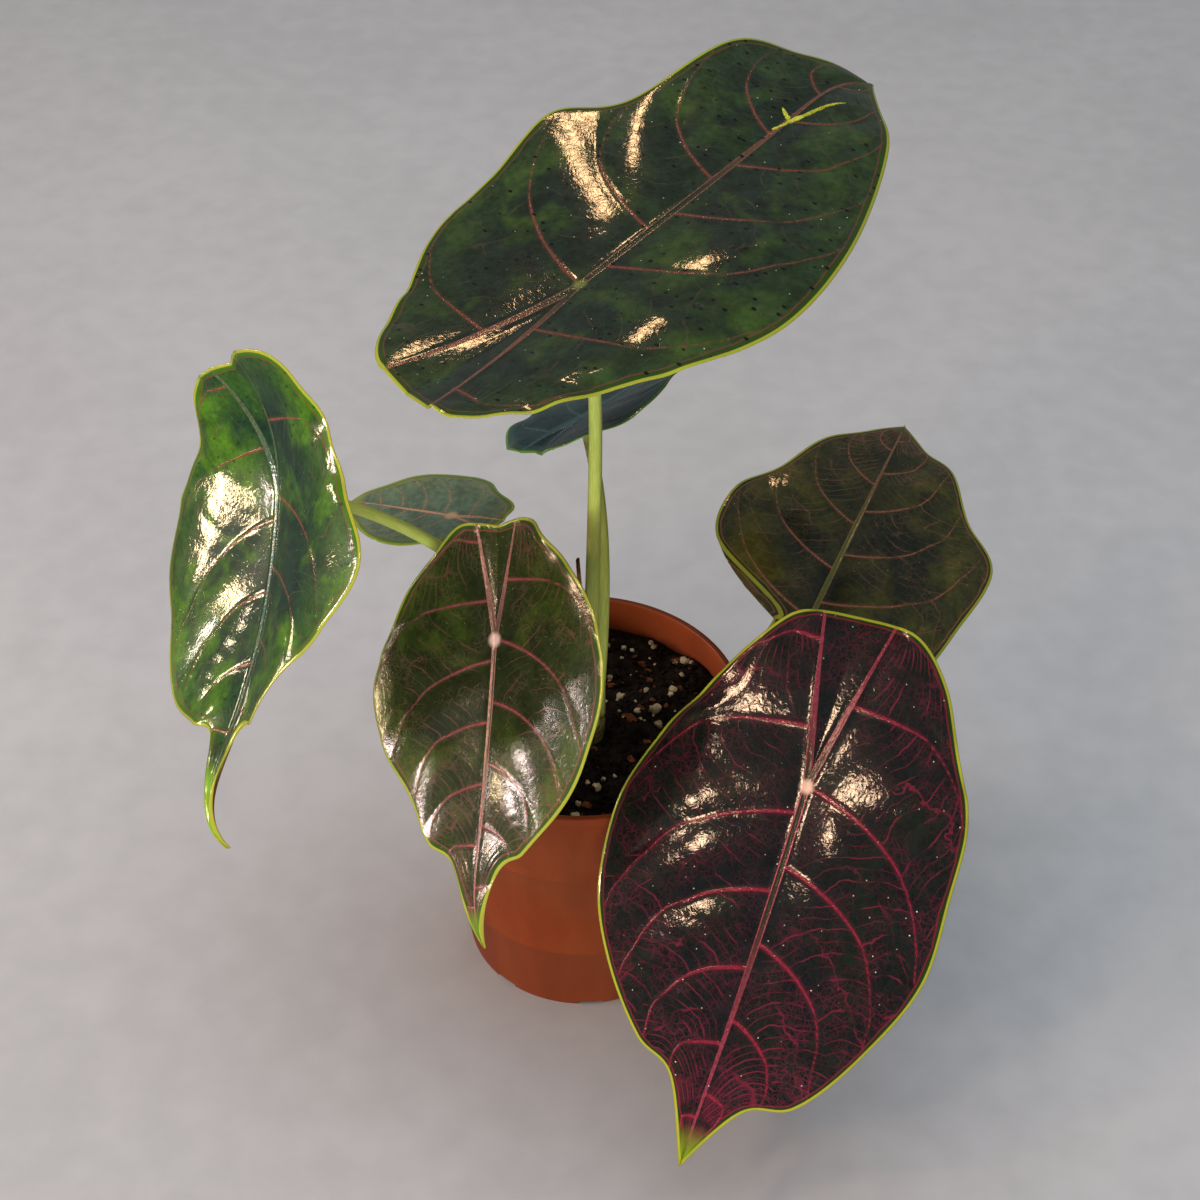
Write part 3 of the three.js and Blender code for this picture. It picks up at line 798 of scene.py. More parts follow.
class BladeForm:
    """The smooth bent surface of a blade, and where its veins run."""

    def __init__(self, shape: LeafShape) -> None:
        """Works out the midrib's frames and the flat margin.

        Args:
            shape: the leaf's form.
        """
        self.shape = shape
        self.length = shape.left[0]
        bearings = np.radians(BEARINGS)
        self.margins = []
        for side, radii in ((1, shape.left), (-1, shape.right)):
            reach = np.array(radii, float)
            flat = np.stack([reach * np.cos(bearings), side * reach * np.sin(bearings)], -1)
            self.margins.append(flat)
        heading = math.radians(shape.heading)
        pitch = math.radians(shape.pitch)
        roll = math.radians(shape.roll)
        along = np.array([math.cos(heading) * math.cos(pitch),
                          math.sin(heading) * math.cos(pitch), math.sin(pitch)])
        level = np.array([-math.sin(heading), math.cos(heading), 0.0])
        across = level * math.cos(roll) + np.cross(along, level) * math.sin(roll)
        self.rear_length = max(*shape.left[-2:], *shape.right[-2:])
        self.front = self._walk(along, across, self.length, 1)
        self.rear = self._walk(along, across, self.rear_length, -1)

    def _walk(self, along: Array, across: Array, length: float, direction: int) -> tuple:
        """Follows the bent midrib from the stalk.

        Args:
            along: the midrib's first direction, toward the tip.
            across: the direction to the leaf's left.
            length: how far to go.
            direction: 1 toward the tip, -1 toward the rear.

        Returns:
            Points, directions to the left and directions up, one a row.
        """
        shape = self.shape
        point = np.array(shape.attachment, float)
        frames = [(point, across, np.cross(along, across))]
        for i in range(SPINE_STEPS):
            past = max(0.0, (i + 0.5) / SPINE_STEPS - CURL_START)
            tail = 2 * past / (1 - CURL_START) ** 2
            arch, turn, twist = shape.rear_arch, 0.0, 0.0
            if direction > 0:
                arch = shape.arch + shape.curl * tail
                turn = shape.sweep + shape.side_curl * tail
                twist = shape.twist
            up = frames[-1][2]
            bent = along - direction * up * math.radians(arch) / SPINE_STEPS
            bent = unit(bent + direction * across * math.radians(turn) / SPINE_STEPS)
            across = across + direction * up * math.radians(twist) / SPINE_STEPS
            across = unit(across - bent * (across @ bent))
            point = point + (along + bent) * direction * length / SPINE_STEPS / 2
            along = bent
            frames.append((point, across, np.cross(along, across)))
        return tuple(np.array(column) for column in zip(*frames))

    def bend(self, flat: Array) -> tuple:
        """Takes flat places, along the midrib and to the left of it, into space.

        Args:
            flat: flat places in millimetres, one a row.

        Returns:
            The places in space and the blade's normals there.
        """
        shape = self.shape
        u, v = flat[:, 0], flat[:, 1]
        ahead = u >= 0
        where = np.clip(np.abs(u) / np.where(ahead, self.length, self.rear_length), 0, 1)
        where = where * SPINE_STEPS
        point, across, up = (
            np.where(ahead[:, None], spline(front, where), spline(rear, where))
            for front, rear in zip(self.front, self.rear)
        )
        side = np.sign(v)
        left = v >= 0
        lift = np.where(left, shape.lift[0], shape.lift[1])
        rear_lift = np.where(left, shape.rear_lift[0], shape.rear_lift[1])
        lift = np.radians(lift + smooth(0.5 - u / HALF_SPAN) * rear_lift)
        bow = np.radians(np.where(left, shape.droop[0], shape.droop[1])) / HALF_SPAN
        slope = lift - bow * np.abs(v)
        sideways = (np.sin(lift) - np.sin(slope)) / bow
        rise = (np.cos(slope) - np.cos(lift)) / bow
        upward = np.where(side == 0, 1.0, np.cos(slope))
        normal = unit(up * upward[:, None] - across * (side * np.sin(slope))[:, None])
        place = point + across * (side * sideways)[:, None] + up * rise[:, None]
        return place, normal

    def margin(self, k: int, station: Array) -> Array:
        """Reads the flat margin of half k at stations from 0 at the tip to 10 at the rear."""
        return spline(self.margins[k], np.asarray(station, float))

    def spine(self, k: int, s: Array) -> Array:
        """Finds where laterals start.

        Args:
            k: 0 for the left half, 1 for the right.
            s: 0 at the tip, 1 at the stalk, 2 at the rear rib's end.

        Returns:
            Flat places, one a row.
        """
        ahead = np.stack([self.length * (1 - s), np.zeros_like(s)], -1)
        rib = self.margin(k, np.array([RIB_STATION]))
        return np.where((s <= 1)[:, None], ahead, rib * (s - 1)[:, None])

    def lateral(self, k: int, s: Array, q: Array) -> Array:
        """Follows laterals across half k.

        Args:
            k: 0 for the left half, 1 for the right.
            s: where each starts.
            q: how far along each to read, from 0 to 1.

        Returns:
            Flat places, for each s and each q.
        """
        start = self.spine(k, s)
        rear_station = FRONT_STATION + (RIB_STATION - FRONT_STATION) * (s - 1)
        end = self.margin(k, np.where(s <= 1, FRONT_STATION * s, rear_station))
        handle = start + (end - start) * np.array(LATERAL_HANDLE)
        q = q[None, :, None]
        start, handle, end = (a[:, None, :] for a in (start, handle, end))
        return (1 - q) ** 2 * start + 2 * q * (1 - q) * handle + q ** 2 * end

    def relief(self, k: int, phase: Array, q: Array, u: Array) -> Array:
        """Gives the quilted height over the smooth blade.

        Args:
            k: 0 for the left half, 1 for the right.
            phase: counts laterals from the tip.
            q: 0 at the rib and 1 at the margin.
            u: flat place along the midrib.

        Returns:
            One height for each place, in millimetres.
        """
        between = np.abs(np.sin(np.pi * (phase + k * RIGHT_SHIFT)))
        quilt = QUILT_RISE * min(1.0, self.length / FULL_QUILT_LENGTH)
        rise, count = self.shape.wave
        cycles = count * phase / ALL_LATERALS
        wave = rise * q * q * np.sin(2 * np.pi * (cycles + k * RIGHT_SHIFT))
        fade = smooth((self.length - u) / WAVE_FADE)
        return quilt * between * np.sin(np.pi * q) + wave * fade


@dataclass
class Blade:
    """One leaf blade: a thin sheet with ribs, quilting and a rounded rim."""

    shape: LeafShape
    steps: int = 30
    columns: int = 60
    patch_columns: int = 6
    column_ease: float = 1.3
    rim_thin: float = 0.6
    rim_reach: float = 1.6
    rim_stand: float = 0.22
    rib_spread: float = 1.5
    rib_groove: float = 0.5
    groove_spread: float = 0.85
    groove_end: float = 0.8
    groove_fade: float = 0.4
    vein_turn: float = 0.45
    vein_stray: float = 0.7
    vein_end: float = 0.96
    vein_samples: int = 44
    outline_samples: int = 260
    crinkle: float = 0.9
    crinkle_count: float = 9.0
    swell: float = 0.45
    swell_reach: float = 14.0
    lateral_rise: float = 0.26
    lateral_keel: float = 0.45
    lateral_spread: float = 0.75
    lateral_taper: float = 0.7
    lateral_reach: float = 5.0
    blister: float = 0.13
    blister_floor: float = 0.6
    blister_reach: float = 4.0

    def build(self) -> Piece:
        """Makes the blade's object, with the distances that its finish reads.

        Returns:
            The finished object.
        """
        self.form = BladeForm(self.shape)
        self.flat: list = []
        self.facts: list = []
        self.joined: list = []
        self.count = 0
        self.quads: list = []
        for k in (0, 1):
            self._half(k)
        flat = np.concatenate(self.flat)
        joined = np.concatenate(self.joined)
        facts = np.concatenate(self.facts)
        gaps = self._gaps(flat, facts[:, 0].astype(int))
        return self._thicken(flat, joined, facts, gaps)

    def _half(self, k: int) -> None:
        """Lays out one half: the rows of laterals, then the patch beside the rear rib.

        Args:
            k: 0 for the left half, 1 for the right.
        """
        form = self.form
        front = FRONT_LATERALS * self.steps
        rows = ALL_LATERALS * self.steps
        phase = np.arange(rows + 1) / self.steps
        s = self._spine_place(phase)
        q = np.linspace(0, 1, self.columns + 1) ** self.column_ease
        places = form.lateral(k, s, q)
        chord = np.linalg.norm(places[:, -1] - places[:, 0], axis=-1)
        names = [[self._name(k, row, i, front, rows) for i in range(self.columns + 1)]
                 for row in range(rows + 1)]
        ridge = smooth(s * RIB_FADE_TIP) * smooth((2 - s) * RIB_FADE_REAR)
        self._add(k, places, names, phase[:, None], q, chord[:, None], ridge[:, None], k == 1)

        ends = form.margin(k, np.linspace(RIB_STATION, SEAM_STATION, self.patch_columns + 1))
        shares = np.arange(rows - front + 1)[:, None] / (rows - front)
        names = [[self._patch_name(k, row, i, front, rows) for i in range(len(ends))]
                 for row in range(len(shares))]
        self._add(k, shares[:, :, None] * ends, names, FRONT_LATERALS + REAR_LATERALS * shares,
                  0.0, PATCH_SPAN, smooth((1 - shares) * RIB_FADE_REAR), k == 0)

    @staticmethod
    def _spine_place(phase: Array) -> Array:
        """Turns a count of laterals into a place on the spine: 0 tip, 1 stalk, 2 rear."""
        return np.where(phase <= FRONT_LATERALS, phase / FRONT_LATERALS,
                        1 + (phase - FRONT_LATERALS) / REAR_LATERALS)

    def _name(self, k: int, row: int, i: int, front: int, rows: int) -> int:
        """Numbers a grid point, so that points shared by the halves get one number.

        Args:
            k: 0 for the left half, 1 for the right.
            row: the point's row, from the tip.
            i: its place in the row, from the rib.
            front: the row that starts at the stalk.
            rows: the last row.

        Returns:
            The number.
        """
        if row == 0:
            return 0
        if row == rows:
            return 1 + k
        if i == 0:
            return 3 + row if row <= front else 3 + rows * (k + 1) + row
        return (row * (self.columns + 1) + i) * 2 + k + 3 + rows * 4

    def _patch_name(self, k: int, row: int, i: int, front: int, rows: int) -> int:
        """Numbers a point of the patch between the rear rib and the line behind the stalk.

        Args:
            k: 0 for the left half, 1 for the right.
            row: the point's row, from the stalk.
            i: its place in the row, from the rear rib.
            front: the grid's row that starts at the stalk.
            rows: the grid's last row.

        Returns:
            The number.
        """
        if row == 0:
            return 3 + front
        if i == 0:
            return self._name(k, front + row, 0, front, rows)
        base = ((rows + 2) * (self.columns + 2)) * 2 + rows * 4
        if i == self.patch_columns:
            return base + row
        return base + rows + (row * self.patch_columns + i) * 2 + k

    def _add(self, k: int, places: Array, names: list, phase: Array, q: object,
             chord: object, ridge: Array, flip: bool) -> None:
        """Adds a grid of points and its faces.

        Args:
            k: 0 for the left half, 1 for the right.
            places: flat places, by row and column.
            names: the points' shared numbers, by row and column.
            phase: counts laterals at each point.
            q: 0 at the rib and 1 at the margin.
            chord: length of the lateral there.
            ridge: 1 where the rib stands full height.
            flip: whether the faces turn the other way.
        """
        shape = places.shape[:2]
        index = np.arange(shape[0] * shape[1]).reshape(shape) + self.count
        quads = np.stack([index[:-1, :-1], index[:-1, 1:], index[1:, 1:], index[1:, :-1]], -1)
        quads = quads.reshape(-1, 4)
        self.quads.append(quads[:, ::-1] if flip else quads)
        self.flat.append(places.reshape(-1, 2))
        self.joined.append(np.ravel(names))
        facts = [np.broadcast_to(fact, shape).ravel() for fact in (k, phase, q, chord, ridge)]
        self.facts.append(np.stack(facts, -1))
        self.count += index.size

    def _gaps(self, flat: Array, halves: Array) -> Array:
        """Measures each point's distance to the laterals, the ribs and the margin.

        Args:
            flat: flat places.
            halves: 0 or 1 for each, its half.

        Returns:
            Three distances a row, in millimetres.
        """
        form = self.form
        gaps = np.full((len(flat), 3), FAR)
        along = np.linspace(0, self.vein_end, self.vein_samples)
        turn = self.vein_turn * np.clip((along - 0.5) / 0.5, 0, 1) ** 2
        diagonal = np.arange(len(along))
        stations = np.linspace(0, SEAM_STATION, self.outline_samples)
        outline = np.concatenate([form.margin(0, stations), form.margin(1, stations[::-1])])
        stalk = np.zeros(2)
        rear = [form.margin(k, np.array([RIB_STATION]))[0] for k in (0, 1)]
        for k in (0, 1):
            mine = halves == k
            points = flat[mine]
            phases = np.arange(1, ALL_LATERALS + 1) - k * RIGHT_SHIFT
            nearest = np.full(len(points), FAR)
            for phase in phases[(phases > 0.2) & (phases < ALL_LATERALS - 0.1)]:
                vein = form.lateral(k, self._spine_place(phase - turn), along)[diagonal, diagonal]
                stray = drift(3 * vein[:, 0], 3 * vein[:, 1], phase)
                vein = vein + (self.vein_stray * along * stray)[:, None]
                nearest = np.minimum(nearest, distance_to(points, vein))
            ribs = np.array([[form.length, 0.0], stalk, rear[k]])
            to_rib = np.minimum(distance_to(points, ribs),
                                distance_to(points, np.array([stalk, rear[1 - k]])))
            gaps[mine] = np.stack([nearest, to_rib, distance_to(points, outline)], -1)
        return gaps

    def _heights(self, flat: Array, facts: Array, gaps: Array) -> tuple:
        """Works out how far the sheet and its two faces stand off the smooth blade.

        Args:
            flat: flat places.
            facts: half, phase, q, chord and ridge of each.
            gaps: distances to lateral, rib and margin of each.

        Returns:
            The sheet's rise, then how far its upper and its lower face stand off it.
        """
        relief, seed = self.form.relief, self.shape.finish.seed
        half, phase, q, _, ridge = facts.T
        u, v = flat.T
        lateral, rib, rim = gaps.T
        past = np.mod(phase + half * RIGHT_SHIFT, 1.0)
        wander = BRANCH_STRAY * drift(u, v, seed)
        branch = BRANCHES * q - BRANCH_CLIMB * past ** CLIMB_BEND
        rise = np.where(half == 0, relief(0, phase, q, u), relief(1, phase, q, u))
        blisters = np.abs(np.sin(np.pi * (branch + 3 * wander))) - self.blister_floor
        share = np.sin(np.pi * past) * np.sin(np.pi * q)
        share = share * smooth(0.5 + 0.8 * drift(v * 0.8, u * 0.8, seed + 3))
        rise = rise + self.blister * blisters * share * smooth(lateral / self.blister_reach)
        lobes = smooth((phase - 5.2) / 0.9) * smooth((q - 0.45) / 0.55)
        crinkles = np.sin(self.crinkle_count * phase + 4 * drift(u, v, seed))
        rise = rise + self.crinkle * lobes * crinkles
        swell = self.swell * drift(u * 0.9 + 9, v * 0.9 - 5, seed + 7)
        rise = rise + swell * smooth(rib / self.swell_reach)
        rise = np.where((q == 0) | (rib < TINY), 0.0, rise)

        thin = self.rim_thin + (1 - self.rim_thin) * smooth(rim / self.rim_reach)
        crest = ridge * np.exp(-((rib / self.rib_spread) ** 2))
        vein = (1 - self.lateral_taper * q) * smooth(rim / self.lateral_reach)
        vein = vein * np.exp(-((lateral / self.lateral_spread) ** 2))
        groove = self.rib_groove * ridge * np.exp(-((rib / self.groove_spread) ** 2))
        ahead = u / self.form.length
        groove = groove * smooth((self.groove_end - ahead) / self.groove_fade)
        above = np.maximum(MIDRIB_RISE * crest - groove, self.lateral_rise * vein)
        below = np.maximum(MIDRIB_KEEL * crest, self.lateral_keel * vein)
        return rise, HALF_THICKNESS * thin + above, HALF_THICKNESS * thin + below

    def _thicken(self, flat: Array, joined: Array, facts: Array, gaps: Array) -> Piece:
        """Gives the sheet its two faces and rounded rim, and stores what the finish reads.

        Args:
            flat: flat places of every grid point.
            joined: the shared number of each.
            facts: half, phase, q, chord and ridge of each.
            gaps: distances to lateral, rib and margin of each.

        Returns:
            The blade's object.
        """
        _, first, ids = np.unique(joined, return_index=True, return_inverse=True)
        rise, above, below = self._heights(flat[first], facts[first], gaps[first])
        place, normal = self.form.bend(flat[first])
        place = place + normal * rise[:, None]
        top = place + normal * above[:, None]
        bottom = place - normal * below[:, None]

        quads = np.concatenate(self.quads)
        faces, sources = [], []
        for names, origin in zip(ids[quads].tolist(), quads.tolist()):
            kept = [i for i in range(4) if names[i] != names[i - 1]]
            if len(kept) >= 3:
                faces.append([names[i] for i in kept])
                sources.append([origin[i] for i in kept])
        border = self._border(faces)
        rim_faces, rim_points = self._rim(place, normal, border)
        count = len(place)
        under = [[count + i for i in reversed(face)] for face in faces]
        beside = [name % count if name < 2 * count else border[name - 2 * count][0]
                  for face in rim_faces for name in face]
        corners = [i for source in sources for i in source]
        corners += [i for source in sources for i in reversed(source)]
        corners = np.concatenate([corners, first[np.array(beside)]]).astype(int)
        points = np.concatenate([top, bottom, rim_points])
        made = object_from(f"blade_{self.shape.name}_leaf", points, faces + under + rim_faces,
                           self.shape.finish.materials())
        slots = [Face.UPPER.value] * len(faces) + [Face.LOWER.value] * len(faces)
        slots += [Face.UPPER.value] * len(rim_faces)
        made.data.polygons.foreach_set("material_index", slots)
        sizes = np.array([len(face) for face in faces + under + rim_faces])
        self._store(made.data, sizes, flat[corners], facts[corners], gaps[corners])
        return made

    @staticmethod
    def _border(faces: list) -> list:
        """Lists the edges that only one face has.

        Args:
            faces: the sheet's faces.

        Returns:
            Each edge's two point numbers, in order round the border.
        """
        edges = {(a, b) for face in faces for a, b in zip(face, face[1:] + face[:1])}
        after = {a: b for a, b in edges if (b, a) not in edges}
        border = []
        here = min(after)
        for _ in after:
            border.append((here, after[here]))
            here = after[here]
        return border

    def _rim(self, place: Array, normal: Array, border: list) -> tuple:
        """Rounds the rim with one line of points that stands a little proud.

        Args:
            place: the sheet's middle surface.
            normal: its normals.
            border: its border edges in order.

        Returns:
            The rim's faces and its own points.
        """
        ring = np.array([a for a, _ in border])
        around = place[ring]
        along = np.roll(around, -1, 0) - np.roll(around, 1, 0)
        points = around + unit(np.cross(along, normal[ring])) * self.rim_stand
        count = len(place)
        faces = []
        for i, (a, b) in enumerate(border):
            j = (i + 1) % len(border)
            faces.append([b, a, 2 * count + i, 2 * count + j])
            faces.append([2 * count + j, 2 * count + i, count + a, count + b])
        return faces, points

    def _store(self, mesh: bpy.types.Mesh, sizes: Array, flat: Array,
               facts: Array, gaps: Array) -> None:
        """Stores flat places, distances and vein counts on the mesh's corners.

        Args:
            mesh: the blade's mesh.
            sizes: how many corners each face has.
            flat: the flat place at each corner.
            facts: half, phase, q, chord and ridge there.
            gaps: distances to lateral, rib and margin there.
        """
        u, v = flat.T
        half, phase, q, chord, _ = facts.T
        shifted = phase + half * RIGHT_SHIFT
        starts = np.concatenate([[0], np.cumsum(sizes)[:-1]])
        lateral_before = np.floor(np.minimum.reduceat(shifted, starts) + TINY)
        past = np.clip(shifted - np.repeat(lateral_before, sizes), 0, 1)
        wander = BRANCH_STRAY * drift(u, v, self.shape.finish.seed)
        branch = BRANCHES * q - BRANCH_CLIMB * past ** CLIMB_BEND + 3 * wander
        zero = np.zeros(len(flat))
        store(mesh, "leaf_flat", "CORNER", u, v + half * 0.01, u / self.form.length)
        store(mesh, "leaf_gap", "CORNER", *gaps.T)
        store(mesh, "leaf_net", "CORNER", shifted, branch, q)
        store(mesh, "leaf_span", "CORNER", np.maximum(chord, 2.0), zero, zero)


@dataclass(frozen=True)
class StemFinish:
    """Waxy stem skin: two colours, faint mottling and fine streaks along it."""

    name: str
    light: str
    dark: str
    spot: str
    base: str
    gloss: float = 0.38
    base_reach: float = 18.0

    def material(self) -> Material:
        """Wires the skin; the mesh gives its length along and angle around.

        Returns:
            The finished material.
        """
        w = Wiring(self.name)
        along, around, from_foot = w.attribute("stem_place")
        spot = w.join(w.times(around, 3.0), along, 0.0)
        streak = w.noise(w.scaled(spot, (1.0, 0.06, 1.0)), 2.4)
        colour = w.blend(w.ease(streak, 0.3, 0.7), self.dark, self.light)
        fleck = w.ease(w.noise(w.scaled(spot, (0.6, 0.25, 1.0)), 1.4), 0.62, 0.74, 0.0, 0.5)
        foot = w.fade(w.fused(streak, 6.0, from_foot), 3.0, self.base_reach, 0.85)
        colour = w.blend(foot, w.blend(fleck, colour, self.spot), self.base)
        height = w.fused(streak, 0.25, w.noise(spot, 1.1, 2.0))
        return w.surface(Base_Color=colour, Normal=w.bump(height, 0.1 * MM), Roughness=self.gloss,
                         Coat_Weight=0.25, Coat_Roughness=0.2)


@dataclass
class Shoot:
    """A short stem that carries stalks, ringed with old leaf scars."""

    name: str
    x: float
    y: float
    radius: float
    top: float
    bottom: float
    stalk_ring: float
    sides: int = 48
    steps: int = 90
    ring_gap: float = 2.6
    scar_depth: float = 0.35
    scar_sharpness: float = 0.35
    flutes: float = 0.25
    shoulder: float = 1.2
    shoulder_reach: float = 1.6
    foot_waist: float = 0.3
    foot_reach: float = 4.0

    def build(self, skin: Material) -> Piece:
        """Turns the stem's scarred profile about its own axis.

        Args:
            skin: its material.

        Returns:
            The finished object.
        """
        heights = np.linspace(self.bottom, self.top, self.steps)
        z, a = np.meshgrid(heights, turns(self.sides), indexing="ij")
        tilt = z + 0.5 * np.sin(a + 0.8) + 0.25 * np.sin(2 * a)
        scar = np.abs(np.sin(np.pi * tilt / self.ring_gap)) ** self.scar_sharpness
        flute = self.flutes * (1 + np.sin(3 * a + z / 4)) / 2
        radius = self.radius - self.scar_depth * (1 - scar) - flute
        radius = radius - self.shoulder * (1 - smooth((self.top - z) / self.shoulder_reach))
        waist = self.foot_waist * (1 - smooth((z - self.bottom) / self.foot_reach))
        radius = radius * (1 - waist)
        rings = np.stack([self.x + radius * np.cos(a), self.y + radius * np.sin(a), z], -1)
        points, faces = capped(rings, [self.x, self.y, self.bottom], [self.x, self.y, self.top])
        made = object_from(f"{self.name}_stem", points, faces, [skin])
        along = points[:, 2] - self.bottom
        around = np.arctan2(points[:, 1] - self.y, points[:, 0] - self.x)
        store(made.data, "stem_place", "POINT", along, around, along)
        return made


@dataclass
class Stalk:
    """One leaf stalk: a tapered stem from its shoot to the underside of the blade."""

    shape: LeafShape
    sides: int = 28
    steps: int = 90
    fine_steps: int = 600
    clearance: float = 0.3
    sink: float = 0.9
    flare: float = 0.32
    flare_reach: float = 7.0
    foot_swell: float = 0.22
    foot_reach: float = 14.0
    channel: float = 0.1
    channel_angle: float = 1.6
    channel_width: float = 0.45

    def curve(self) -> Array:
        """Works out the stalk's middle line at equal steps.

        Returns:
            Places in millimetres, one a row.
        """
        shape, shoot = self.shape, self.shape.shoot
        angle = math.radians(shape.stalk_angle)
        foot = np.array([shoot.x + shoot.stalk_ring * math.cos(angle),
                         shoot.y + shoot.stalk_ring * math.sin(angle),
                         shoot.top + self.clearance])
        place, normal = BladeForm(shape).bend(np.zeros((1, 2)))
        drop = HALF_THICKNESS + MIDRIB_KEEL + self.clearance
        head = place[0] - normal[0] * drop
        lean = foot + np.array(shape.stalk_lean)
        reach = head - normal[0] * shape.stalk_reach
        t = np.linspace(0, 1, self.fine_steps)[:, None]
        fine = ((1 - t) ** 3 * foot + 3 * (1 - t) ** 2 * t * lean
                + 3 * (1 - t) * t ** 2 * reach + t ** 3 * head)
        fine = np.concatenate([fine, [head + normal[0] * self.sink]])
        walked = lengths_along(fine)
        even = np.linspace(0, walked[-1], self.steps + 1)
        return np.stack([np.interp(even, walked, fine[:, i]) for i in range(3)], -1)

    def build(self, skin: Material) -> Piece:
        """Sweeps the stalk's section along its curve.

        Args:
            skin: its material.

        Returns:
            The finished object.
        """
        shape, line, angles = self.shape, self.curve(), turns(self.sides)
        walked = lengths_along(line)
        share = walked / walked[-1]
        along = unit(np.gradient(line, axis=0))
        side = np.cross(along[0], [0.0, 1.0, 0.0])
        radius = shape.stalk_foot + (shape.stalk_head - shape.stalk_foot) * np.sqrt(share)
        radius = radius * (1 + self.flare * smooth(1 - (walked[-1] - walked) / self.flare_reach))
        radius = radius * (1 + self.foot_swell * smooth(1 - walked / self.foot_reach))
        groove = self.channel * np.exp(-((angles - self.channel_angle) / self.channel_width) ** 2)
        rings = []
        for i, centre in enumerate(line):
            side = unit(side - along[i] * (side @ along[i]))
            other = np.cross(along[i], side)
            hollow = 1 - groove * (1 - share[i])
            rings.append(centre + radius[i] * hollow[:, None] * (
                np.cos(angles)[:, None] * side + np.sin(angles)[:, None] * other))
        rings[0][:, 2] = line[0][2]
        points, faces = capped(np.stack(rings), line[0], line[-1])
        made = object_from(f"stalk_{shape.name}_stem", points, faces, [skin])
        lengths = np.concatenate([np.repeat(walked, self.sides), walked[[0, -1]]])
        around = np.concatenate([np.tile(angles, len(line)), [0.0, 0.0]])
        store(made.data, "stem_place", "POINT", lengths, around, lengths)
        return made


@dataclass(frozen=True)
class PotFinish:
    """Moulded terracotta-coloured plastic, a little scuffed, darker brown low on the inside of the
    rim.
    """

    outside: str = "702c0a"
    inside: str = "a84c22"
    scuff: str = "7a3a1a"
    low_inside: str = "3a2113"
    low_inside_from: float = 0.1035
    collar_from: float = 0.0905
    wall_inside: float = 0.0574
    wall_outside: float = 0.0582

    def material(self) -> Material:
        """Wires the plastic.

        Returns:
            The finished material.
        """
        w = Wiring("pot_plastic")
        place = w.place()
        x, y, z = w.split(place)
        cloud = w.noise(place, 22.0)
        colour = w.blend(w.ease(cloud, 0.35, 0.65, 0.0, 0.35), self.outside, self.scuff)
        streak = w.noise(w.scaled(place, (60.0, 60.0, 8.0)), 1.6, 4.0)
        colour = w.lit(colour, w.ease(streak, 0.25, 0.75, 0.9, 1.1))
        inner = w.times(w.fade(w.distance(x, y), self.wall_inside, self.wall_outside),
                        w.ease(z, self.collar_from, self.collar_from + MM))
        colour = w.blend(inner, colour, w.lit(self.inside, w.ease(cloud, 0.3, 0.7, 0.8, 1.1)))
        # The inner wall is drawn dark brown toward the mix, with a ragged upper edge.
        low = w.fused(w.noise(place, 160.0, 4.0), 6 * MM, z)
        low_darkening = w.fade(low, self.low_inside_from + 3 * MM, self.low_inside_from + 8.5 * MM, 0.8)
        colour = w.blend(w.times(low_darkening, inner), colour, self.low_inside)
        scratch = w.noise(w.scaled(place, (400.0, 400.0, 60.0)), 1.0)
        height = w.fused(scratch, 0.8, w.noise(place, 900.0, 2.0))
        return w.surface(Base_Color=colour, Normal=w.bump(height, 0.08 * MM),
                         Roughness=w.ease(cloud, 0.3, 0.7, 0.44, 0.58), Specular_IOR_Level=0.5)


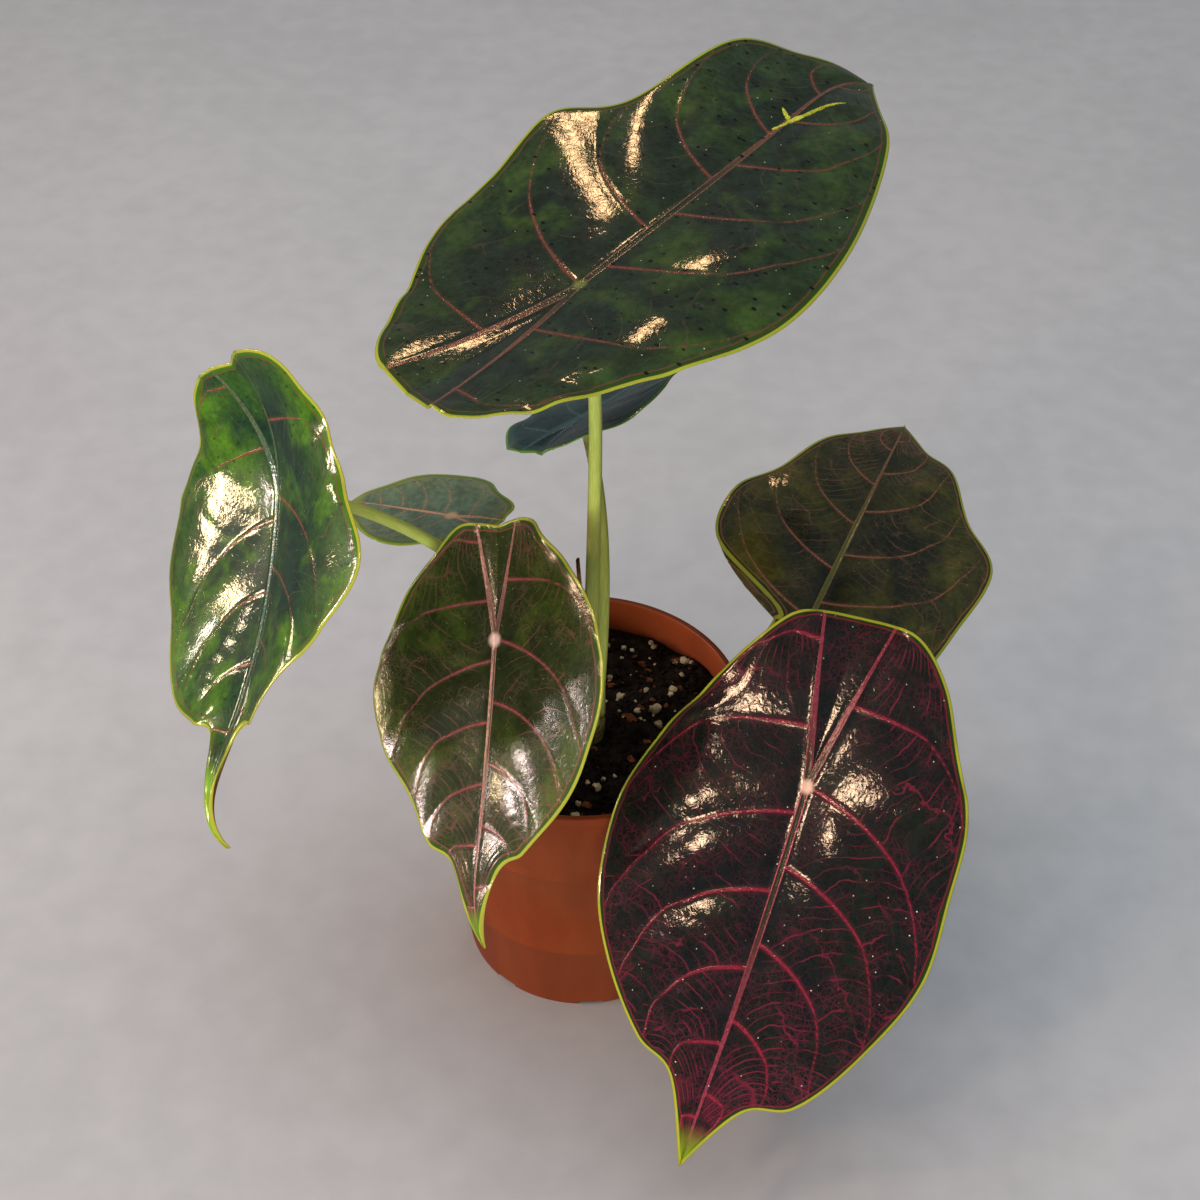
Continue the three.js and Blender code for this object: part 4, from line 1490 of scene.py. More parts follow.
@dataclass
class Pot:
    """The nursery pot: tapered body, tall collar, small lip and slots at the foot."""

    height: float = 120.0
    rim_radius: float = 60.0
    foot_radius: float = 45.5
    collar_height: float = 29.0
    collar_step: float = 1.8
    lip_height: float = 3.6
    lip_stand: float = 0.7
    wall: float = 1.8
    floor: float = 2.0
    edge: float = 0.6
    sides: int = 192
    slot_count: int = 8
    slot_width: float = 9.0
    slot_height: float = 1.6
    slot_depth: float = 6.0
    slot_first: float = 229.0
    sharp_angle: float = 40.0
    fillet_steps: int = 4
    bead_height: float = 0.35
    bead_places: tuple[float, ...] = (36.0, 84.0)
    # Offset along the wall and share of the height at each point of a bead
    bead_section: tuple = ((-0.9, 0.0), (-0.4, 0.8), (0.0, 1.0), (0.4, 0.8), (0.9, 0.0))

    def profile(self) -> Array:
        """Lists the wall's outline from the middle of the underside round to the inner floor.

        Returns:
            Radius and height pairs, one a row.
        """
        collar_bottom = self.height - self.collar_height
        collar = self.rim_radius - self.lip_stand
        body = collar - self.collar_step
        lip = self.height - self.lip_height
        inner = collar - self.wall
        inner_body = body - self.wall
        edge = self.edge
        points = [(0.0, 0.0)]
        points += self._round((self.foot_radius, 0.0), (-1, 0), (0.087, 1), edge)
        for height in self.bead_places:
            share = (height - edge) / (collar_bottom - edge)
            radius = self.foot_radius + (body - self.foot_radius) * share
            for offset, stand in self.bead_section:
                points.append((radius + stand * self.bead_height, height + offset))
        for corner, back, onward, radius in (
            ((body, collar_bottom), (-0.12, -1), (1, 0), 0.25),
            ((collar, collar_bottom), (-1, 0), (0, 1), edge),
            ((collar, lip), (0, -1), (1, 0), 0.3),
            ((self.rim_radius, lip + 0.1), (-1, 0), (0, 1), 0.3),
            ((self.rim_radius, self.height), (0, -1), (-1, 0), edge * 1.2),
            ((inner, self.height), (1, 0), (0, -1), edge),
            ((inner, collar_bottom + edge), (0, 1), (-0.5, -0.6), 0.5),
            ((inner_body, collar_bottom - self.collar_step), (0.5, 0.6), (-0.12, -1), 0.5),
        ):
            points += self._round(corner, back, onward, radius)
        points += [(self.foot_radius - self.wall, self.floor), (0.0, self.floor)]
        return np.array(points)

    def _round(self, corner: tuple, back: tuple, onward: tuple, radius: float) -> list:
        """Rounds a corner with a short curve.

        Args:
            corner: the sharp corner.
            back: direction back along the line that reaches it.
            onward: direction along the line that leaves it.
            radius: how far from the corner the curve starts and ends.

        Returns:
            The curve's points.
        """
        at = np.array(corner)
        start = at + unit(np.array(back, float)) * radius
        end = at + unit(np.array(onward, float)) * radius
        shares = np.linspace(0, 1, self.fillet_steps + 1)[:, None]
        curve = (1 - shares) ** 2 * start + 2 * shares * (1 - shares) * at + shares ** 2 * end
        return [tuple(point) for point in curve]

    def build(self, plastic: Material) -> Piece:
        """Turns the wall about the pot's axis and cuts the foot slots.

        Args:
            plastic: its material.

        Returns:
            The finished object.
        """
        angles = turns(self.sides)
        rings = [np.stack([r * np.cos(angles), r * np.sin(angles), np.full(self.sides, z)], -1)
                 for r, z in self.profile()[1:-1]]
        points, faces = capped(np.stack(rings), [0.0, 0.0, 0.0], [0.0, 0.0, self.floor])
        made = object_from("pot_moulding", points, faces, [plastic])
        cutter = self._slots()
        cut = made.modifiers.new("slots", "BOOLEAN")
        cut.operation = "DIFFERENCE"
        cut.solver = "EXACT"
        cut.object = cutter
        apply_modifiers(made)
        bpy.data.objects.remove(cutter)
        mark_sharp(made, self.sharp_angle)
        return made

    def _slots(self) -> Piece:
        """Makes the blocks that cut the slots at the foot's edge.

        Returns:
            One object that holds every block.
        """
        points, faces = [], []
        half = np.array([self.slot_depth, self.slot_width / 2, self.slot_height])
        corners = np.array([[x, y, z] for x in (-1, 1) for y in (-1, 1) for z in (-1, 1)]) * half
        sides = ((0, 1, 3, 2), (4, 6, 7, 5), (0, 4, 5, 1), (2, 3, 7, 6), (0, 2, 6, 4), (1, 5, 7, 3))
        for n in range(self.slot_count):
            angle = math.radians(self.slot_first + 360 / self.slot_count * n)
            turn = np.array(Matrix.Rotation(angle, 3, "Z"))
            placed = (corners + [self.foot_radius, 0, 0]) @ turn.T
            faces += [[8 * n + i for i in side] for side in sides]
            points.append(placed)
        return object_from("slot_cutter", np.concatenate(points), faces, [])


def apply_modifiers(piece: Piece) -> None:
    """Bakes an object's modifiers into its mesh.

    Args:
        piece: the object.
    """
    graph = bpy.context.evaluated_depsgraph_get()
    mesh = bpy.data.meshes.new_from_object(piece.evaluated_get(graph))
    old = piece.data
    piece.modifiers.clear()
    piece.data = mesh
    bpy.data.meshes.remove(old)


def mark_sharp(piece: Piece, degrees: float) -> None:
    """Keeps edges crisp where two faces meet at more than an angle."""
    piece.data.shade_smooth()
    piece.data.set_sharp_from_angle(angle=math.radians(degrees))


@dataclass(frozen=True)
class CrumbFinish:
    """Rough crumb of the mix: two colours that vary from crumb to crumb."""

    name: str
    light: str
    dark: str
    roughness: float = 0.9

    def material(self) -> Material:
        """Wires the crumb's surface.

        Returns:
            The finished material.
        """
        w = Wiring(self.name)
        place = w.place()
        cloud = w.noise(place, 210.0, 4.0)
        fine = w.noise(place, 1300.0)
        colour = w.blend(w.ease(w.fused(fine, 0.35, cloud), 0.45, 0.9), self.dark, self.light)
        return w.surface(Base_Color=colour, Normal=w.bump(w.fused(fine, 0.5, cloud), 0.6 * MM),
                         Roughness=self.roughness, Specular_IOR_Level=0.3)


class Crumb(Enum):
    """Kinds of crumb in the mix."""

    PEAT = "peat"
    BARK = "bark"
    PERLITE = "perlite"


@dataclass(frozen=True)
class CrumbForm:
    """Size and form of one kind of crumb, in millimetres.

    seen lists those that can be told apart in the photograph, each by x, y and radius.
    """

    count: int
    sizes: tuple[float, float]
    form: Triple
    splits: int = 1
    lies_flat: bool = False
    seen: tuple[Triple, ...] = ()


@dataclass
class PottingMix:
    """The mix's rough surface and the crumbs that lie in it."""

    pot: Pot
    shoots: tuple[Shoot, ...]
    surface: float = 105.0
    bump: float = 1.1
    clearance: float = 0.3
    rings: int = 100
    sectors: int = 260
    depth: float = 12.0
    seed: int = 7
    # Wavelength and height of each layer of lumps on the bed, and how many waves make it up
    lumps: tuple = ((7.0, 0.5), (3.6, 0.5), (1.9, 0.38), (1.1, 0.22))
    waves: int = 5
    wall_reach: float = 2.5
    crumb_lumps: float = 0.22

    def level(self, x: Array, y: Array) -> Array:
        """Gives the broad height of the mix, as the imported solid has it."""
        ripple = np.sin(x / 6.1) * np.cos(y / 5.3)
        return self.surface + self.bump * (ripple + np.sin((x - y) / 9.7))

    def radius(self) -> float:
        """Gives the radius of the mix where it meets the collar's inner wall."""
        return self.pot.rim_radius - self.pot.lip_stand - self.pot.wall - self.clearance

    def build(self, materials: dict) -> list:
        """Makes the bed and one object for each kind of crumb.

        Args:
            materials: the material of each kind of crumb.

        Returns:
            The finished objects.
        """
        draw = np.random.default_rng(self.seed)
        made = [self._bed(materials[Crumb.PEAT])]
        for kind, form in CRUMB_FORMS.items():
            made.append(self._crumbs(kind, form, draw, materials[kind]))
        return made

    def _bed(self, material: Material) -> Piece:
        """Makes the closed block of mix with its rough top.

        Args:
            material: its material.

        Returns:
            The finished object.
        """
        outer = self.radius()
        shares = np.sqrt(np.linspace(1.0, 0.0002, self.rings))
        r, a = np.meshgrid(outer * shares, turns(self.sectors), indexing="ij")
        x, y = r * np.cos(a), r * np.sin(a)
        rough = np.zeros_like(x)
        draw = np.random.default_rng(self.seed + 1)
        for size, rise in self.lumps:
            for _ in range(self.waves):
                heading, start = draw.uniform(0, 2 * np.pi, 2)
                wave = (x * math.cos(heading) + y * math.sin(heading)) / size * 2.2
                cross = (x * math.sin(heading) - y * math.cos(heading)) / size * 1.7
                rough += rise * np.sin(wave + start + 1.3 * np.sin(cross)) / 2.2
        z = self.level(x, y) + rough * (0.35 + 0.65 * smooth((outer - r) / self.wall_reach))
        bottom = self.surface - self.depth
        rings = np.stack([x, y, z], -1)
        wall = rings[:1].copy()
        wall[..., 2] = bottom
        points, faces = capped(np.concatenate([wall, rings]), [0, 0, bottom],
                               [0, 0, float(z[-1].mean())])
        return object_from("mix_bed", points, faces, [material])

    def _crumbs(self, kind: Crumb, form: CrumbForm, draw: np.random.Generator,
                material: Material) -> Piece:
        """Scatters one kind of crumb over the bed.

        Args:
            kind: the kind.
            form: its size and form.
            draw: the source of random numbers.
            material: their material.

        Returns:
            One object that holds them all.
        """
        ball_points, ball_faces = ball(form.splits)
        places = list(form.seen)
        while len(places) < form.count + len(form.seen):
            size = draw.uniform(*form.sizes) * draw.uniform(0.7, 1.25)
            reach = (self.radius() - size * 1.6) * math.sqrt(draw.uniform())
            angle = draw.uniform(0, 2 * math.pi)
            x, y = reach * math.cos(angle), reach * math.sin(angle)
            if all(math.hypot(x - s.x, y - s.y) > s.radius + size for s in self.shoots):
                places.append((x, y, size))
        points, faces = [], []
        for n, (x, y, size) in enumerate(places):
            bulges = draw.standard_normal(len(ball_points)).clip(-1.6, 1.6)
            lumps = 1 + self.crumb_lumps * bulges
            spin = draw.uniform(0, FULL_TURN)
            turn = Matrix.Rotation(spin, 3, Vector(draw.standard_normal(3)))
            lay = Matrix.Rotation(draw.uniform(0, FULL_TURN), 3, "Z")
            crumb = ball_points * lumps[:, None] * size * np.array(form.form)
            tipped = crumb @ np.array(lay if form.lies_flat else turn).T
            up = self.level(np.array(x), np.array(y)) + size * draw.uniform(0.05, 0.5)
            faces += (ball_faces + n * len(ball_points)).tolist()
            points.append(tipped + [x, y, float(up)])
        return object_from(f"mix_{kind.value}", np.concatenate(points), faces, [material],
                           smooth_faces=kind is Crumb.PERLITE)


def ball(splits: int) -> tuple:
    """Makes a ball of triangles, each side 20 to begin with and split in four each time.

    Args:
        splits: how many rounds of faces, 1 for the plain 20-sided solid.

    Returns:
        Its points at radius 1 and its faces.
    """
    golden = (1 + math.sqrt(5)) / 2
    points = [unit(np.array(p, float)) for p in (
        (-1, golden, 0), (1, golden, 0), (-1, -golden, 0), (1, -golden, 0),
        (0, -1, golden), (0, 1, golden), (0, -1, -golden), (0, 1, -golden),
        (golden, 0, -1), (golden, 0, 1), (-golden, 0, -1), (-golden, 0, 1))]
    faces = [(0, 11, 5), (0, 5, 1), (0, 1, 7), (0, 7, 10), (0, 10, 11), (1, 5, 9), (5, 11, 4),
             (11, 10, 2), (10, 7, 6), (7, 1, 8), (3, 9, 4), (3, 4, 2), (3, 2, 6), (3, 6, 8),
             (3, 8, 9), (4, 9, 5), (2, 4, 11), (6, 2, 10), (8, 6, 7), (9, 8, 1)]
    for _ in range(splits - 1):
        middles: dict = {}
        finer = []
        for face in faces:
            halves = []
            for a, b in zip(face, face[1:] + face[:1]):
                key = (min(a, b), max(a, b))
                if key not in middles:
                    middles[key] = len(points)
                    points.append(unit(points[a] + points[b]))
                halves.append(middles[key])
            a, b, c = face
            ab, bc, ca = halves
            finer += [(a, ab, ca), (b, bc, ab), (c, ca, bc), (ab, bc, ca)]
        faces = finer
    return np.array(points), np.array(faces)


@dataclass
class Cataphyll:
    """The dry papery sheath that stands beside the top leaf's stalk."""

    stalk: Stalk
    bottom: float = 36.0
    top: float = 78.0
    facing: float = 172.0
    half_angle: float = 70.0
    taper: float = 0.85
    flare: float = 1.6
    thickness: float = 0.6
    stand: float = 0.1
    pleats: float = 0.22
    wrinkles: float = 0.1
    fray: float = 0.8
    steps: int = 60
    sides: int = 36

    def build(self, material: Material) -> Piece:
        """Wraps a thin wrinkled shell round one side of the stalk.

        Args:
            material: its material.

        Returns:
            The finished object.
        """
        line = self.stalk.curve()
        walked = lengths_along(line)
        inner = self.stalk.shape.stalk_foot + self.stalk.clearance
        across = np.linspace(-1, 1, self.sides + 1)
        layers = []
        for out in (self.thickness, 0.0):
            for share in np.arange(self.steps + 1) / self.steps:
                height = self.bottom + (self.top - self.bottom) * share
                centre = [np.interp(height, walked, line[:, i]) for i in range(3)]
                spread = self.half_angle * (1 - self.taper * share)
                angle = np.radians(self.facing + spread * across)
                ripple = self.pleats * np.sin(across * 9 + share * 5) * share
                ripple = ripple + self.wrinkles * np.sin(across * 23)
                radius = inner + self.stand + out + self.flare * share ** 2 + ripple
                ragged = self.fray * np.sin(across * 17 + 1) * smooth(share * 3 - 2)
                layers.append(np.stack([centre[0] + radius * np.cos(angle),
                                        centre[1] + radius * np.sin(angle),
                                        centre[2] + ragged], -1))
        columns, rows = self.sides + 1, self.steps + 1
        count = rows * columns
        outer = grid_faces(rows, columns)
        faces = outer + [[count + i for i in reversed(face)] for face in outer]
        loop = list(range(columns))
        loop += [row * columns + self.sides for row in range(1, rows)]
        loop += [(rows - 1) * columns + i for i in range(self.sides - 1, -1, -1)]
        loop += [row * columns for row in range(rows - 2, 0, -1)]
        faces += [[b, a, count + a, count + b] for a, b in zip(loop, loop[1:] + loop[:1])]
        return object_from("cataphyll_sheath", np.concatenate(layers), faces, [material])


@dataclass
class Tear:
    """A healed crack in a blade: thin ragged lips that stand a little proud of its face.

    Each path runs over the flat leaf in millimetres, along the midrib and to the left of it.
    """

    shape: LeafShape
    paths: tuple[tuple[tuple[float, float], ...], ...]
    half_width: float = 1.05
    height: float = 0.4
    sunk: float = 0.2
    steps: int = 26
    probe: float = 6.0
    seed: int = 4

    def build(self, blade: Piece, material: Material) -> Piece:
        """Lays the lips on the finished blade.

        Args:
            blade: the blade that is torn.
            material: its finish.

        Returns:
            The finished object.
        """
        form = BladeForm(self.shape)
        tree = BVHTree.FromPolygons([vertex.co for vertex in blade.data.vertices],
                                    [face.vertices for face in blade.data.polygons])
        draw = np.random.default_rng(self.seed)
        section = np.array([(-1.0, -self.sunk), (-0.5, self.height), (0.0, 0.3 * self.height),
                            (0.5, self.height), (1.0, -self.sunk)])
        points, faces = [], []
        for path in self.paths:
            knots = np.array(path, float)
            flat = spline(knots, np.linspace(0, len(knots) - 1, self.steps))
            ahead = unit(np.gradient(flat, axis=0))
            left = np.stack([-ahead[:, 1], ahead[:, 0]], -1)
            taper = np.sin(np.pi * np.linspace(0.12, 0.97, self.steps)) ** 0.6
            width = self.half_width * taper * draw.uniform(0.5, 1.3, self.steps)
            start = len(points)
            for at, aside, wide, share in zip(flat, left, width, taper):
                rows = at + aside * (section[:, :1] * wide)
                place, normal = form.bend(rows)
                for spot, up, rise in zip(place, normal, section[:, 1]):
                    hit = tree.ray_cast(Vector((spot + up * self.probe) * MM), Vector(-up))[0]
                    ragged = rise * share * draw.uniform(0.7, 1.2) if rise > 0 else rise
                    points.append(np.array(hit) / MM + up * ragged)
            columns = len(section)
            faces += grid_faces(self.steps, columns, closed=True, start=start)
            last = start + (self.steps - 1) * columns
            faces.append([start + i for i in reversed(range(columns))])
            faces.append([last + i for i in range(columns)])
        name = f"blade_{self.shape.name}_tear"
        return object_from(name, np.array(points), faces, [material])


@dataclass(frozen=True)
class PaperFinish:
    """Dry fibrous skin, such as a brown sheath or the lips of a tear."""

    name: str = "cataphyll_skin"
    light: str = "a87a48"
    dark: str = "5a3218"

    def material(self) -> Material:
        """Wires the dry skin.

        Returns:
            The finished material.
        """
        w = Wiring(self.name)
        place = w.place()
        fibre = w.noise(w.scaled(place, (1.0, 1.0, 0.08)), 1800.0)
        share = w.ease(w.plus(fibre, w.noise(place, 160.0)), 0.75, 1.3)
        return w.surface(Base_Color=w.blend(share, self.dark, self.light), Roughness=0.8,
                         Normal=w.bump(fibre, 0.3 * MM), Specular_IOR_Level=0.25)


@dataclass(frozen=True)
class Softbox:
    """A square soft studio light that faces the plant."""

    name: str
    azimuth: float
    elevation: float
    width: float
    height: float
    power: float
    colour: Triple
    distance: float = 1.5
    mirrored: bool = True

    def build(self, target: Vector) -> None:
        """Places the light.

        Args:
            target: the point that it faces, in metres.
        """
        data = bpy.data.lights.new(self.name, "AREA")
        data.shape = "RECTANGLE"
        data.size = self.width
        data.size_y = self.height
        data.energy = self.power
        data.color = self.colour
        lamp = add_object(self.name, data)
        lamp.visible_glossy = self.mirrored
        azimuth, elevation = math.radians(self.azimuth), math.radians(self.elevation)
        direction = Vector((math.sin(azimuth) * math.cos(elevation),
                            math.cos(azimuth) * math.cos(elevation), math.sin(elevation)))
        lamp.location = target + direction * self.distance
        lamp.rotation_euler = direction.to_track_quat("Z", "Y").to_euler()


@dataclass
class Studio:
    """Floor, lights and camera."""

    floor_half: float = 3.0
    floor_colour: str = "b1b3b7"
    world_colour: Triple = (0.94, 0.97, 1.0)
    world_strength: float = 0.11
    target: Triple = (0.0, 0.0, 0.2)
    camera_place: Triple = (0.007, -0.5611, 0.6573)
    camera_dip: float = 41.0
    lens: float = 63.0
    sensor: float = 36.0
    softboxes: tuple[Softbox, ...] = (
        Softbox("back_softbox", -9.0, 51.0, 0.08, 0.1, 0.8, (1.0, 0.6, 0.3)),
        Softbox("left_softbox", -69.0, 3.5, 0.1, 0.06, 0.9, (1.0, 0.8, 0.54)),
        Softbox("left_low_softbox", -82.0, -1.5, 0.1, 0.1, 2.0, (1.0, 0.74, 0.42)),
        Softbox("near_left_softbox", -93.0, 9.0, 0.3, 0.24, 9.0, (1.0, 0.78, 0.72)),
        Softbox("front_left_softbox", -116.0, 47.0, 0.16, 0.16, 3.4, WARM_WHITE),
        Softbox("front_softbox", -140.0, 42.0, 0.16, 0.16, 3.4, WARM_WHITE),
        Softbox("top_fill", 40.0, 84.0, 2.0, 2.0, 25.0, (0.95, 0.98, 1.0), mirrored=False),
        Softbox("front_fill", 192.0, 0.0, 1.2, 0.36, 22.0, (0.93, 0.97, 1.0), mirrored=False),
    )

    def build(self) -> None:
        """Makes the floor, the lights, the world and the camera."""
        self._floor()
        target = Vector(self.target)
        for softbox in self.softboxes:
            softbox.build(target)
        world = bpy.data.worlds.new("studio")
        world.use_nodes = True
        background = world.node_tree.nodes["Background"]
        background.inputs["Color"].default_value = (*self.world_colour, 1.0)
        background.inputs["Strength"].default_value = self.world_strength
        bpy.context.scene.world = world
        bpy.context.scene.view_settings.view_transform = "Standard"
        self._camera()

    def _floor(self) -> None:
        """Lays the plain pale floor."""
        corners = np.array([[-1, -1, 0], [1, -1, 0], [1, 1, 0], [-1, 1, 0]]) * self.floor_half / MM
        w = Wiring("studio_floor")
        place = w.place()
        cloud = w.plus(w.noise(place, 6.0, 6.0), w.noise(place, 60.0, 4.0))
        colour = w.lit(self.floor_colour, w.ease(cloud, 0.7, 1.3, 0.95, 1.05))
        skin = w.surface(Base_Color=colour, Roughness=0.85, Specular_IOR_Level=0.2)
        floor = object_from("studio_floor", corners, [[0, 1, 2, 3]], [skin])
        floor.visible_glossy = False

    def _camera(self) -> None:
        """Sets the camera at the photograph's viewing angle."""
        data = bpy.data.cameras.new("camera")
        data.lens = self.lens
        data.sensor_width = self.sensor
        data.sensor_fit = "HORIZONTAL"
        data.clip_end = 20.0
        camera = add_object("camera", data)
        camera.location = self.camera_place
        camera.rotation_euler = (math.radians(90.0 - self.camera_dip), 0.0, 0.0)
        bpy.context.scene.camera = camera


MAIN_SHOOT = Shoot("shoot_main", 0.0, 0.0, 9.2, 112.0, 78.0, 5.7)
OFFSET_SHOOT = Shoot("shoot_offset", 36.0, -20.0, 7.0, 111.0, 84.0, 3.4)

TOP_FINISH = LeafFinish(
    name="top_leaf", deep="19231b", fresh="344a18", vein="663a30", net="2c4438", rib="242f20",
    rib_edge="6c463a", band="27400f", margin="969a2c", tail="3d5616", node="5f6a34", under="4c4a2c",
    under_vein="7c4a34", fresh_share=0.6, net_share=0.4, branch_share=0.35, pit_share=1.0,
    glint_share=0.8, vein_width=0.65, tail_start=0.93, seed=1.0)
LEFT_FINISH = LeafFinish(
    name="left_leaf", deep="122c1c", fresh="40680e", vein="744430", net="33583a", rib="3c5c50",
    rib_edge="4c583c", band="3d680e", margin="9a9a30", tail="74a418", node="5a7a48", under="55602a",
    under_vein="8a5a30", fresh_share=0.9, net_share=0.3, branch_share=0.45, pit_share=0.5,
    vein_width=0.55, tail_start=0.76, seed=2.0)
# The small leaf's pale grey-green ground is partly its own colour and partly painted silvery sheen.
SMALL_FINISH = LeafFinish(
    name="small_leaf", deep="5a6f5c", fresh="707f55", vein="8c7a5c", net="6e7c62", rib="c09074",
    rib_edge="b08a6c", band="5f7a38", margin="8ea030", tail="7d8a48", node="c9a080", under="6b6a40",
    under_vein="a87a58", fresh_share=0.4, net_share=0.4, branch_share=0.25, vein_width=0.5,
    rib_width=1.0, band_width=2.6, margin_width=0.8, seed=3.0)
FRONT_FINISH = LeafFinish(
    name="front_leaf", deep="1e2812", fresh="3e5010", vein="84423e", net="584634", rib="5e4638",
    rib_edge="9a625a", band="2f4a0e", margin="9c9c30", tail="6a8a1a", node="e0b8a8", under="565a26",
    under_vein="95553c", fresh_share=0.6, net_share=0.65, branch_share=0.55, band_width=2.4,
    coat_blur=0.21, coat_index=1.9, crinkle=0.12, vein_width=0.55, rib_painted_highlight=1.7, tail_start=0.87,
    rib_width=1.4, gloss=0.32, seed=4.0)
LARGE_FINISH = LeafFinish(
    name="large_leaf", deep="0a1212", fresh="121e0e", vein="741c2c", net="4c1826", rib="2a281a",
    rib_edge="7c2e3a", band="1d300c", margin="989628", tail="6c8214", node="d8ab92", under="4a3030",
    under_vein="8a3038", fresh_share=0.35, net_share=0.75, branch_share=0.9, glint_share=0.8,
    vein_width=0.75, rib_width=1.75, rib_painted_highlight=2.2, tail_start=0.9, band_width=2.0, crinkle=0.07,
    seed=5.0)
REAR_FINISH = LeafFinish(
    name="rear_leaf", deep="1a221a", fresh="464818", vein="80503c", net="544430", rib="4a5a28",
    rib_edge="74523c", band="26340f", margin="8e922c", tail="5a6a1c", node="5a8a2c", under="5c661c",
    under_vein="8a6034", fresh_share=0.6, net_share=0.6, branch_share=0.6, vein_width=0.5,
    rib_width=1.5, band_width=2.0, tail_start=0.93, seed=6.0)
YOUNG_FINISH = LeafFinish(
    name="young_leaf", deep="1f373c", fresh="2a4a4a", vein="3a5c5c", net="2f5050", rib="456a70",
    rib_edge="3f6068", band="38584a", margin="5f8a3a", tail="4a7040", node="456a70", under="9a6628",
    under_vein="7a4a22", fresh_share=0.4, net_share=0.25, branch_share=0.3, band_width=3.0,
    margin_width=0.8, seed=7.0)

LEAVES = (
    LeafShape("top", TOP_FINISH, (1, -2, 301), 44, 13, -10, 15, -16, 16, 25, 26, -28,
              (12, 7), (8, 23), (0, 5), (160, 143, 133, 92, 87, 66, 63, 57, 61, 69, 71),
              (160, 142, 121, 96, 79, 68, 61, 60, 71, 79, 71), (1.2, 3),
              MAIN_SHOOT, 306, (0, 0, 80), 28, 3.1, 2.1),
    LeafShape("left", LEFT_FINISH, (-101, -4, 220), -92, -48, 61, -32, -52, 7, 1, 78, 22,
              (11, 18), (24, 1), (-4, 3), (123, 84, 82, 71, 72, 72, 52, 49, 57, 55, 48),
              (123, 86, 84, 84, 72, 67, 55, 47, 50, 53, 48), (1, 3),
              MAIN_SHOOT, 162, (-8, 2, 60), 40, 3.0, 2.0),
    LeafShape("small", SMALL_FINISH, (-47, 36, 178), 149, -13, 1, 7, 10, -4, -10, 2, -2,
              (9, 9), (16, 16), (2, 1), (51, 47, 40, 34, 29, 25, 22, 20, 23, 22, 18),
              (51, 47, 40, 34, 29, 25, 23, 20, 23, 22, 18), (0.5, 2),
              MAIN_SHOOT, 90, (-4, 8, 34), 22, 2.6, 1.5),
    LeafShape("front", FRONT_FINISH, (-28, -35, 182), -94, -41, 28, 6, -8, -8, -1, 17, 26,
              (12, 8), (12, 14), (4, -1), (104, 77, 72, 64, 56, 50, 44, 40, 40, 43, 39),
              (104, 78, 73, 62, 57, 53, 45, 40, 39, 42, 39), (0.8, 3),
              MAIN_SHOOT, 234, (-3, -4, 34), 26, 3.0, 1.9),
    LeafShape("large", LARGE_FINISH, (77, -67, 144), -114, -42, 0, 17, 8, -6, -8, -10, 3,
              (7, 7), (20, 15), (1, -2), (138, 113, 108, 91, 76, 60, 55, 52, 58, 63, 61),
              (138, 110, 104, 93, 80, 67, 55, 50, 54, 61, 61), (1, 3),
              OFFSET_SHOOT, 250, (8, -8, 22), 18, 3.1, 2.3),
    LeafShape("rear", REAR_FINISH, (85, 22, 141), 62, 22, 10, 30, 10, 3, -2, 8, 4,
              (8, 6), (18, 17), (1, 0), (114, 100, 90, 71, 65, 48, 13, 14, 22, 31, 38),
              (114, 99, 93, 78, 73, 54, 46, 45, 46, 45, 38), (1, 3),
              OFFSET_SHOOT, 70, (8, 6, 16), 18, 3.1, 2.1),
    LeafShape("young", YOUNG_FINISH, (1, 41, 219), 45, 1, -20, 4, 10, 5, -14, 5, 0,
              (1, 12), (24, 13), (5, 3), (58, 50, 45, 39, 33, 29, 27, 29, 29, 28, 24),
              (58, 50, 45, 39, 33, 29, 27, 27, 28, 28, 24), (0.7, 3),
              MAIN_SHOOT, 18, (4, 6, 52), 34, 3.0, 2.0),
)
SMALL_LEAVES = ("small", "young")
TORN_LEAF = "top"
TEAR_PATHS = (
    ((98.5, 1.4), (102, 0.2), (106.5, -1), (113.5, -3), (120, -5), (124, -6.5), (129, -9.5)),
    ((105.5, -0.6), (107.5, 1), (109, 3), (110.5, 5.2)),
)
STALK_SKIN = StemFinish("stalk_skin", light="b7bd5c", dark="9ea846", spot="7f7a34",
                        base="a9b066")
SHOOT_SKIN = StemFinish("shoot_skin", light="74703a", dark="4f4424", spot="3c2c1a", base="33261a",
                        gloss=0.6, base_reach=30.0)
CRUMB_FINISHES = {
    Crumb.PEAT: CrumbFinish("peat", light="1f1712", dark="090706"),
    Crumb.BARK: CrumbFinish("bark", light="7a4420", dark="2c170b", roughness=0.8),
    Crumb.PERLITE: CrumbFinish("perlite", light="d2c09c", dark="8a744e", roughness=0.75),
}
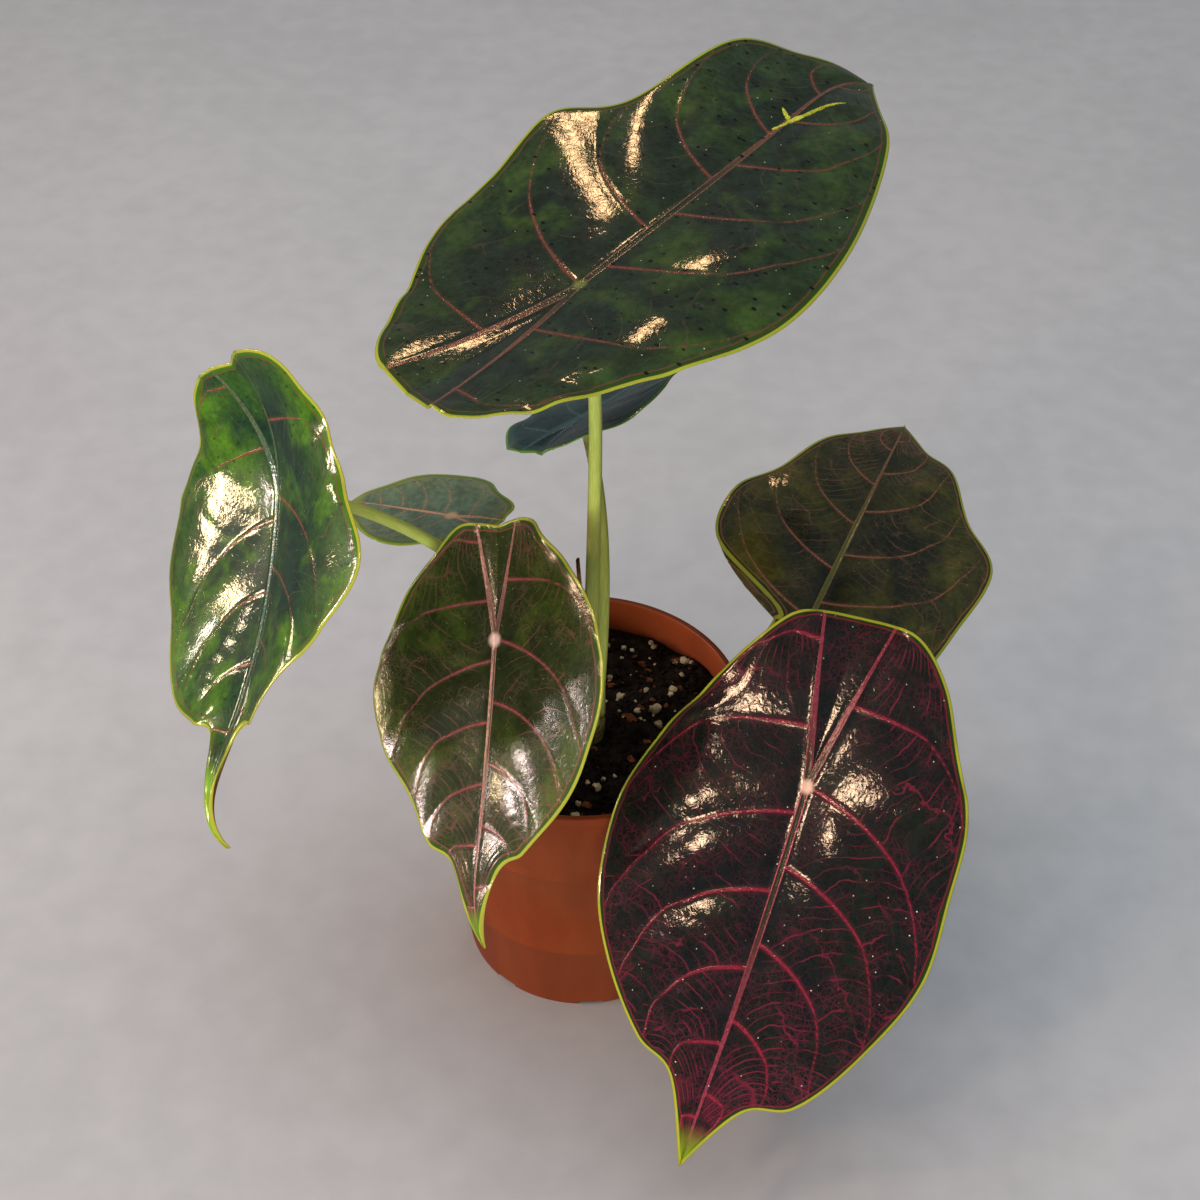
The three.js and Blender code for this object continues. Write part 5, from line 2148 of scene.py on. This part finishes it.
CRUMB_FORMS = {
    Crumb.PEAT: CrumbForm(1900, (0.45, 1.25), (1, 0.8, 0.6)),
    Crumb.BARK: CrumbForm(150, (0.6, 1.7), (1.5, 0.8, 0.45), lies_flat=True, seen=(
        (18.3, 5.0, 2.6), (18.4, -15.1, 1.8), (24.5, -6, 1.6))),
    Crumb.PERLITE: CrumbForm(125, (0.5, 1.15), (1, 0.9, 0.8), splits=2, seen=(
        (14.6, 18.6, 2.0), (27.7, 8.7, 2.3), (39.9, 37.1, 2.1), (21, 8.7, 1.4), (29.1, 2.8, 2.1),
        (34.8, 20.2, 1.7), (10.8, 28.6, 1.2), (9.8, 47, 1.3), (28.1, 46, 1.4),
        (5.9, -30.4, 1.8), (-0.9, -37.3, 1.4), (-1.6, -43.7, 1.9))),
}
COARSE_BLADE = {"steps": 18, "columns": 30}


def build_plant() -> None:
    """Builds and dresses every leaf, with its stalk, and the stems that carry them."""
    stalk_skin, shoot_skin = STALK_SKIN.material(), SHOOT_SKIN.material()
    for shoot in (MAIN_SHOOT, OFFSET_SHOOT):
        settle(shoot.build(shoot_skin), "shoot", shoot.name)
    for shape in LEAVES:
        grid = COARSE_BLADE if shape.name in SMALL_LEAVES else {}
        made = Blade(shape, **grid).build()
        settle(made, "blade", f"blade_{shape.name}")
        stalk = Stalk(shape)
        settle(stalk.build(stalk_skin), "stalk", f"stalk_{shape.name}")
        if shape.name == TORN_LEAF:
            lips = PaperFinish("torn_edge", light="c8d04a", dark="8a8c24").material()
            settle(Tear(shape, TEAR_PATHS).build(made, lips), "blade", f"blade_{shape.name}")
            sheath = Cataphyll(stalk).build(PaperFinish().material())
            settle(sheath, "cataphyll", "cataphyll")


def main() -> None:
    """Builds the studio, the pot with its mix, and the plant."""
    logging.basicConfig(level=logging.INFO, format="%(message)s")
    Studio().build()
    pot = Pot()
    settle(pot.build(PotFinish().material()), "pot", "pot")
    mix = PottingMix(pot, (MAIN_SHOOT, OFFSET_SHOOT))
    crumb_materials = {kind: finish.material() for kind, finish in CRUMB_FINISHES.items()}
    for piece in mix.build(crumb_materials):
        settle(piece, "mix", "potting_mix")
    build_plant()


if __name__ == "__main__":
    main()
